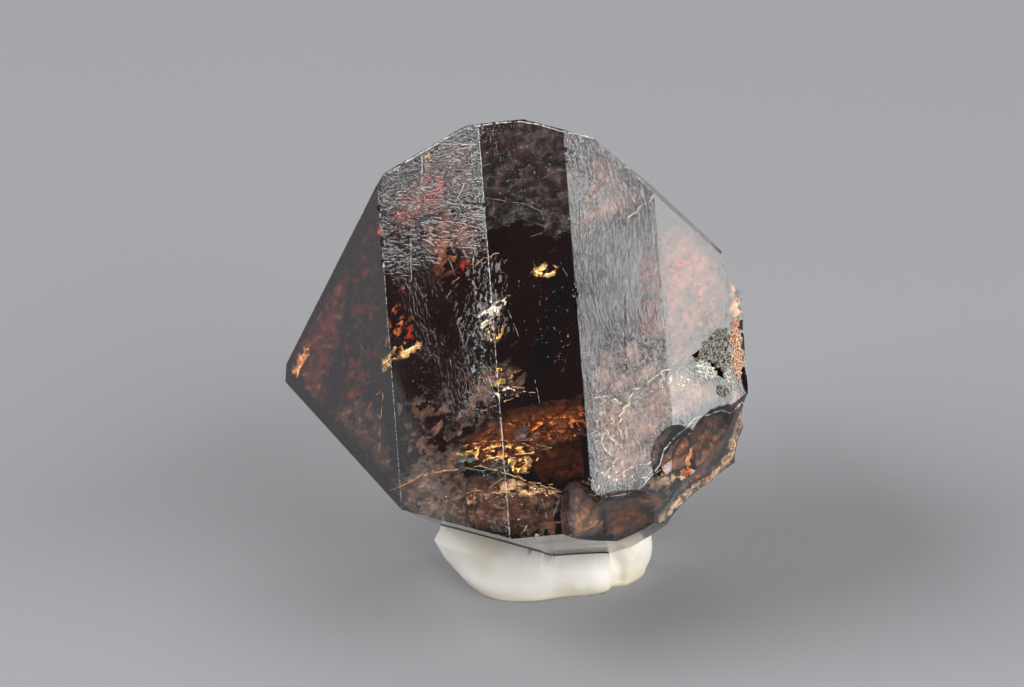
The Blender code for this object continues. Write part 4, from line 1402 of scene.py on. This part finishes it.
def putty_finish():
    """Mounting putty: a waxy, creamy white synthetic rubber, dulled by the fingers that pressed it."""
    finish = bpy.data.materials.new("putty")
    finish.use_nodes = True
    tree = finish.node_tree
    shader = tree.nodes["Principled BSDF"]
    place = add(tree, "ShaderNodeTexCoord").outputs["Object"]
    cloud = add(tree, "ShaderNodeTexNoise", {"Vector": place, "Scale": 420.0, "Detail": 4.0})
    fine = add(tree, "ShaderNodeTexNoise", {"Vector": place, "Scale": 5200.0, "Detail": 3.0})
    # It is darker and yellower towards the table, and in smudges.
    height = add(tree, "ShaderNodeSeparateXYZ", {"Vector": place}).outputs["Z"]
    low = add(
        tree,
        "ShaderNodeMapRange",
        {"Value": height, "From Min": 0.0, "From Max": 0.9 * MM, "To Min": 1.0, "To Max": 0.0},
        **EASED,
    )
    smudges = add(
        tree,
        "ShaderNodeMapRange",
        {"Value": cloud, "From Min": 0.5, "From Max": 0.75, "To Min": 0.0, "To Max": 0.5},
        **EASED,
    )
    darker_low_and_smudged = add(tree, "ShaderNodeMath", {0: low, 1: 0.6, 2: smudges}, operation="MULTIPLY_ADD")
    tints = {"Factor": darker_low_and_smudged, "A": linear("fbf7ee"), "B": linear("e0d2b0")}
    colour = add(tree, "ShaderNodeMix", tints, data_type="RGBA")
    lumps = layered(tree, 0.0, (fine, 1.0, 0.004 * MM), (cloud, 1.0, 0.05 * MM))
    relief = add(tree, "ShaderNodeBump", {"Height": lumps, "Distance": 1.0})
    roughness = add(
        tree,
        "ShaderNodeMapRange",
        {"Value": cloud, "From Min": 0.3, "From Max": 0.7, "To Min": 0.62, "To Max": 0.48},
        **EASED,
    )
    feed(tree, shader, {"Base Color": colour, "Normal": relief, "Roughness": roughness})
    return finish


def make_putty(surface):
    """The pressed lump: a smoother, dented skin on the modelled solid, squeezed up to the crystal."""
    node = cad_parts["putty_lump"]
    lump = bmesh.new()
    lump.from_mesh(node.data)
    bmesh.ops.remove_doubles(lump, verts=lump.verts, dist=1e-6)
    quads = {"angle_face_threshold": 0.7, "angle_shape_threshold": 0.9}
    bmesh.ops.join_triangles(lump, faces=lump.faces, **quads)
    bmesh.ops.subdivide_edges(lump, edges=lump.edges, cuts=2, use_grid_fill=True)
    every_way = {"use_axis_x": True, "use_axis_y": True, "use_axis_z": True}
    for _ in range(SMOOTHING_ROUNDS):
        upper = [vert for vert in lump.verts if vert.co.z > SMOOTHED_ABOVE]
        bmesh.ops.smooth_vert(lump, verts=upper, factor=0.5, **every_way)
    lump.normal_update()
    for vert in lump.verts:
        if vert.co.z < DENTED_ABOVE:
            continue
        x, y = vert.co.x / MM, vert.co.y / MM
        fold = FOLD_DEPTH * math.exp(-(((x - FOLD_X) / FOLD_WIDTH) ** 2)) if y < 0 else 0.0
        dent = DENT_DEPTH * noise.fractal(vert.co / (DENT_SIZE * MM), 1.0, 2.0, 3)
        moved = vert.co + vert.normal * (dent - fold) * MM
        near, normal, _, gap = surface.find_nearest(moved)
        if gap < PRESSED_WITHIN * MM and (moved - near).dot(normal) > 0:
            moved = near + normal * PRESSED_GAP * MM
        vert.co = moved
    for face in lump.faces:
        face.smooth = True
    piece = new_piece("pressed_putty", lump, putty_finish())
    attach(piece, "root")
    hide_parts("putty_lump")


# Stage

def make_stage():
    """A plain pale floor, large soft lights, and weak light from the rest of the room."""
    floor = bmesh.new()
    bmesh.ops.create_circle(floor, cap_ends=True, segments=96, radius=1.5)
    finish = bpy.data.materials.new("pale_floor")
    finish.use_nodes = True
    shader = finish.node_tree.nodes["Principled BSDF"]
    shader.inputs["Base Color"].default_value = linear("9c9c9f")
    shader.inputs["Roughness"].default_value = 0.9
    shader.inputs["Specular IOR Level"].default_value = 0.1
    ground = new_piece("floor", floor, finish)

    world = bpy.data.worlds.new("room")
    bpy.context.scene.world = world
    world.use_nodes = True
    world.node_tree.nodes["Background"].inputs["Color"].default_value = (0.07, 0.072, 0.076, 1)

    for name, (azimuth, height, distance, wide, high, brightness) in LIGHTS.items():
        lamp = bpy.data.lights.new(name, "AREA")
        lamp.shape = "RECTANGLE"
        lamp.size, lamp.size_y = wide, high
        lamp.energy = brightness * math.pi * wide * high
        holder = bpy.data.objects.new(name, lamp)
        bpy.context.scene.collection.objects.link(holder)
        way = way_to(azimuth, height)
        holder.location = CRYSTAL_MIDDLE + way * distance
        holder.rotation_euler = way.to_track_quat("Z", "Y").to_euler()


def make_camera():
    """The camera, where the photo was taken from."""
    lens = bpy.data.cameras.new("camera")
    lens.sensor_width = SENSOR
    lens.lens = SENSOR * CAMERA_AWAY / (FRAME_WIDE / PIXELS_PER_MM)
    lens.clip_start = 0.01
    holder = bpy.data.objects.new("camera", lens)
    bpy.context.scene.collection.objects.link(holder)
    axes = Matrix((VIEW_RIGHT, VIEW_UP, -VIEW_AWAY)).transposed().to_4x4()
    holder.matrix_world = Matrix.Translation(EYE) @ axes
    bpy.context.scene.camera = holder


def main():
    """Everything in the scene, and how it is rendered."""
    make_camera()
    make_stage()
    body = make_crystal_body()
    surface = surface_of(body)
    make_healed_cracks(surface)
    make_threads(surface)
    make_grains(body, surface)
    make_putty(surface)

    scene = bpy.context.scene
    scene.view_settings.view_transform = "Standard"
    scene.cycles.max_bounces = 12
    scene.cycles.transmission_bounces = 12
    scene.cycles.sample_clamp_indirect = 6.0
    scene.cycles.use_denoising = True


main()
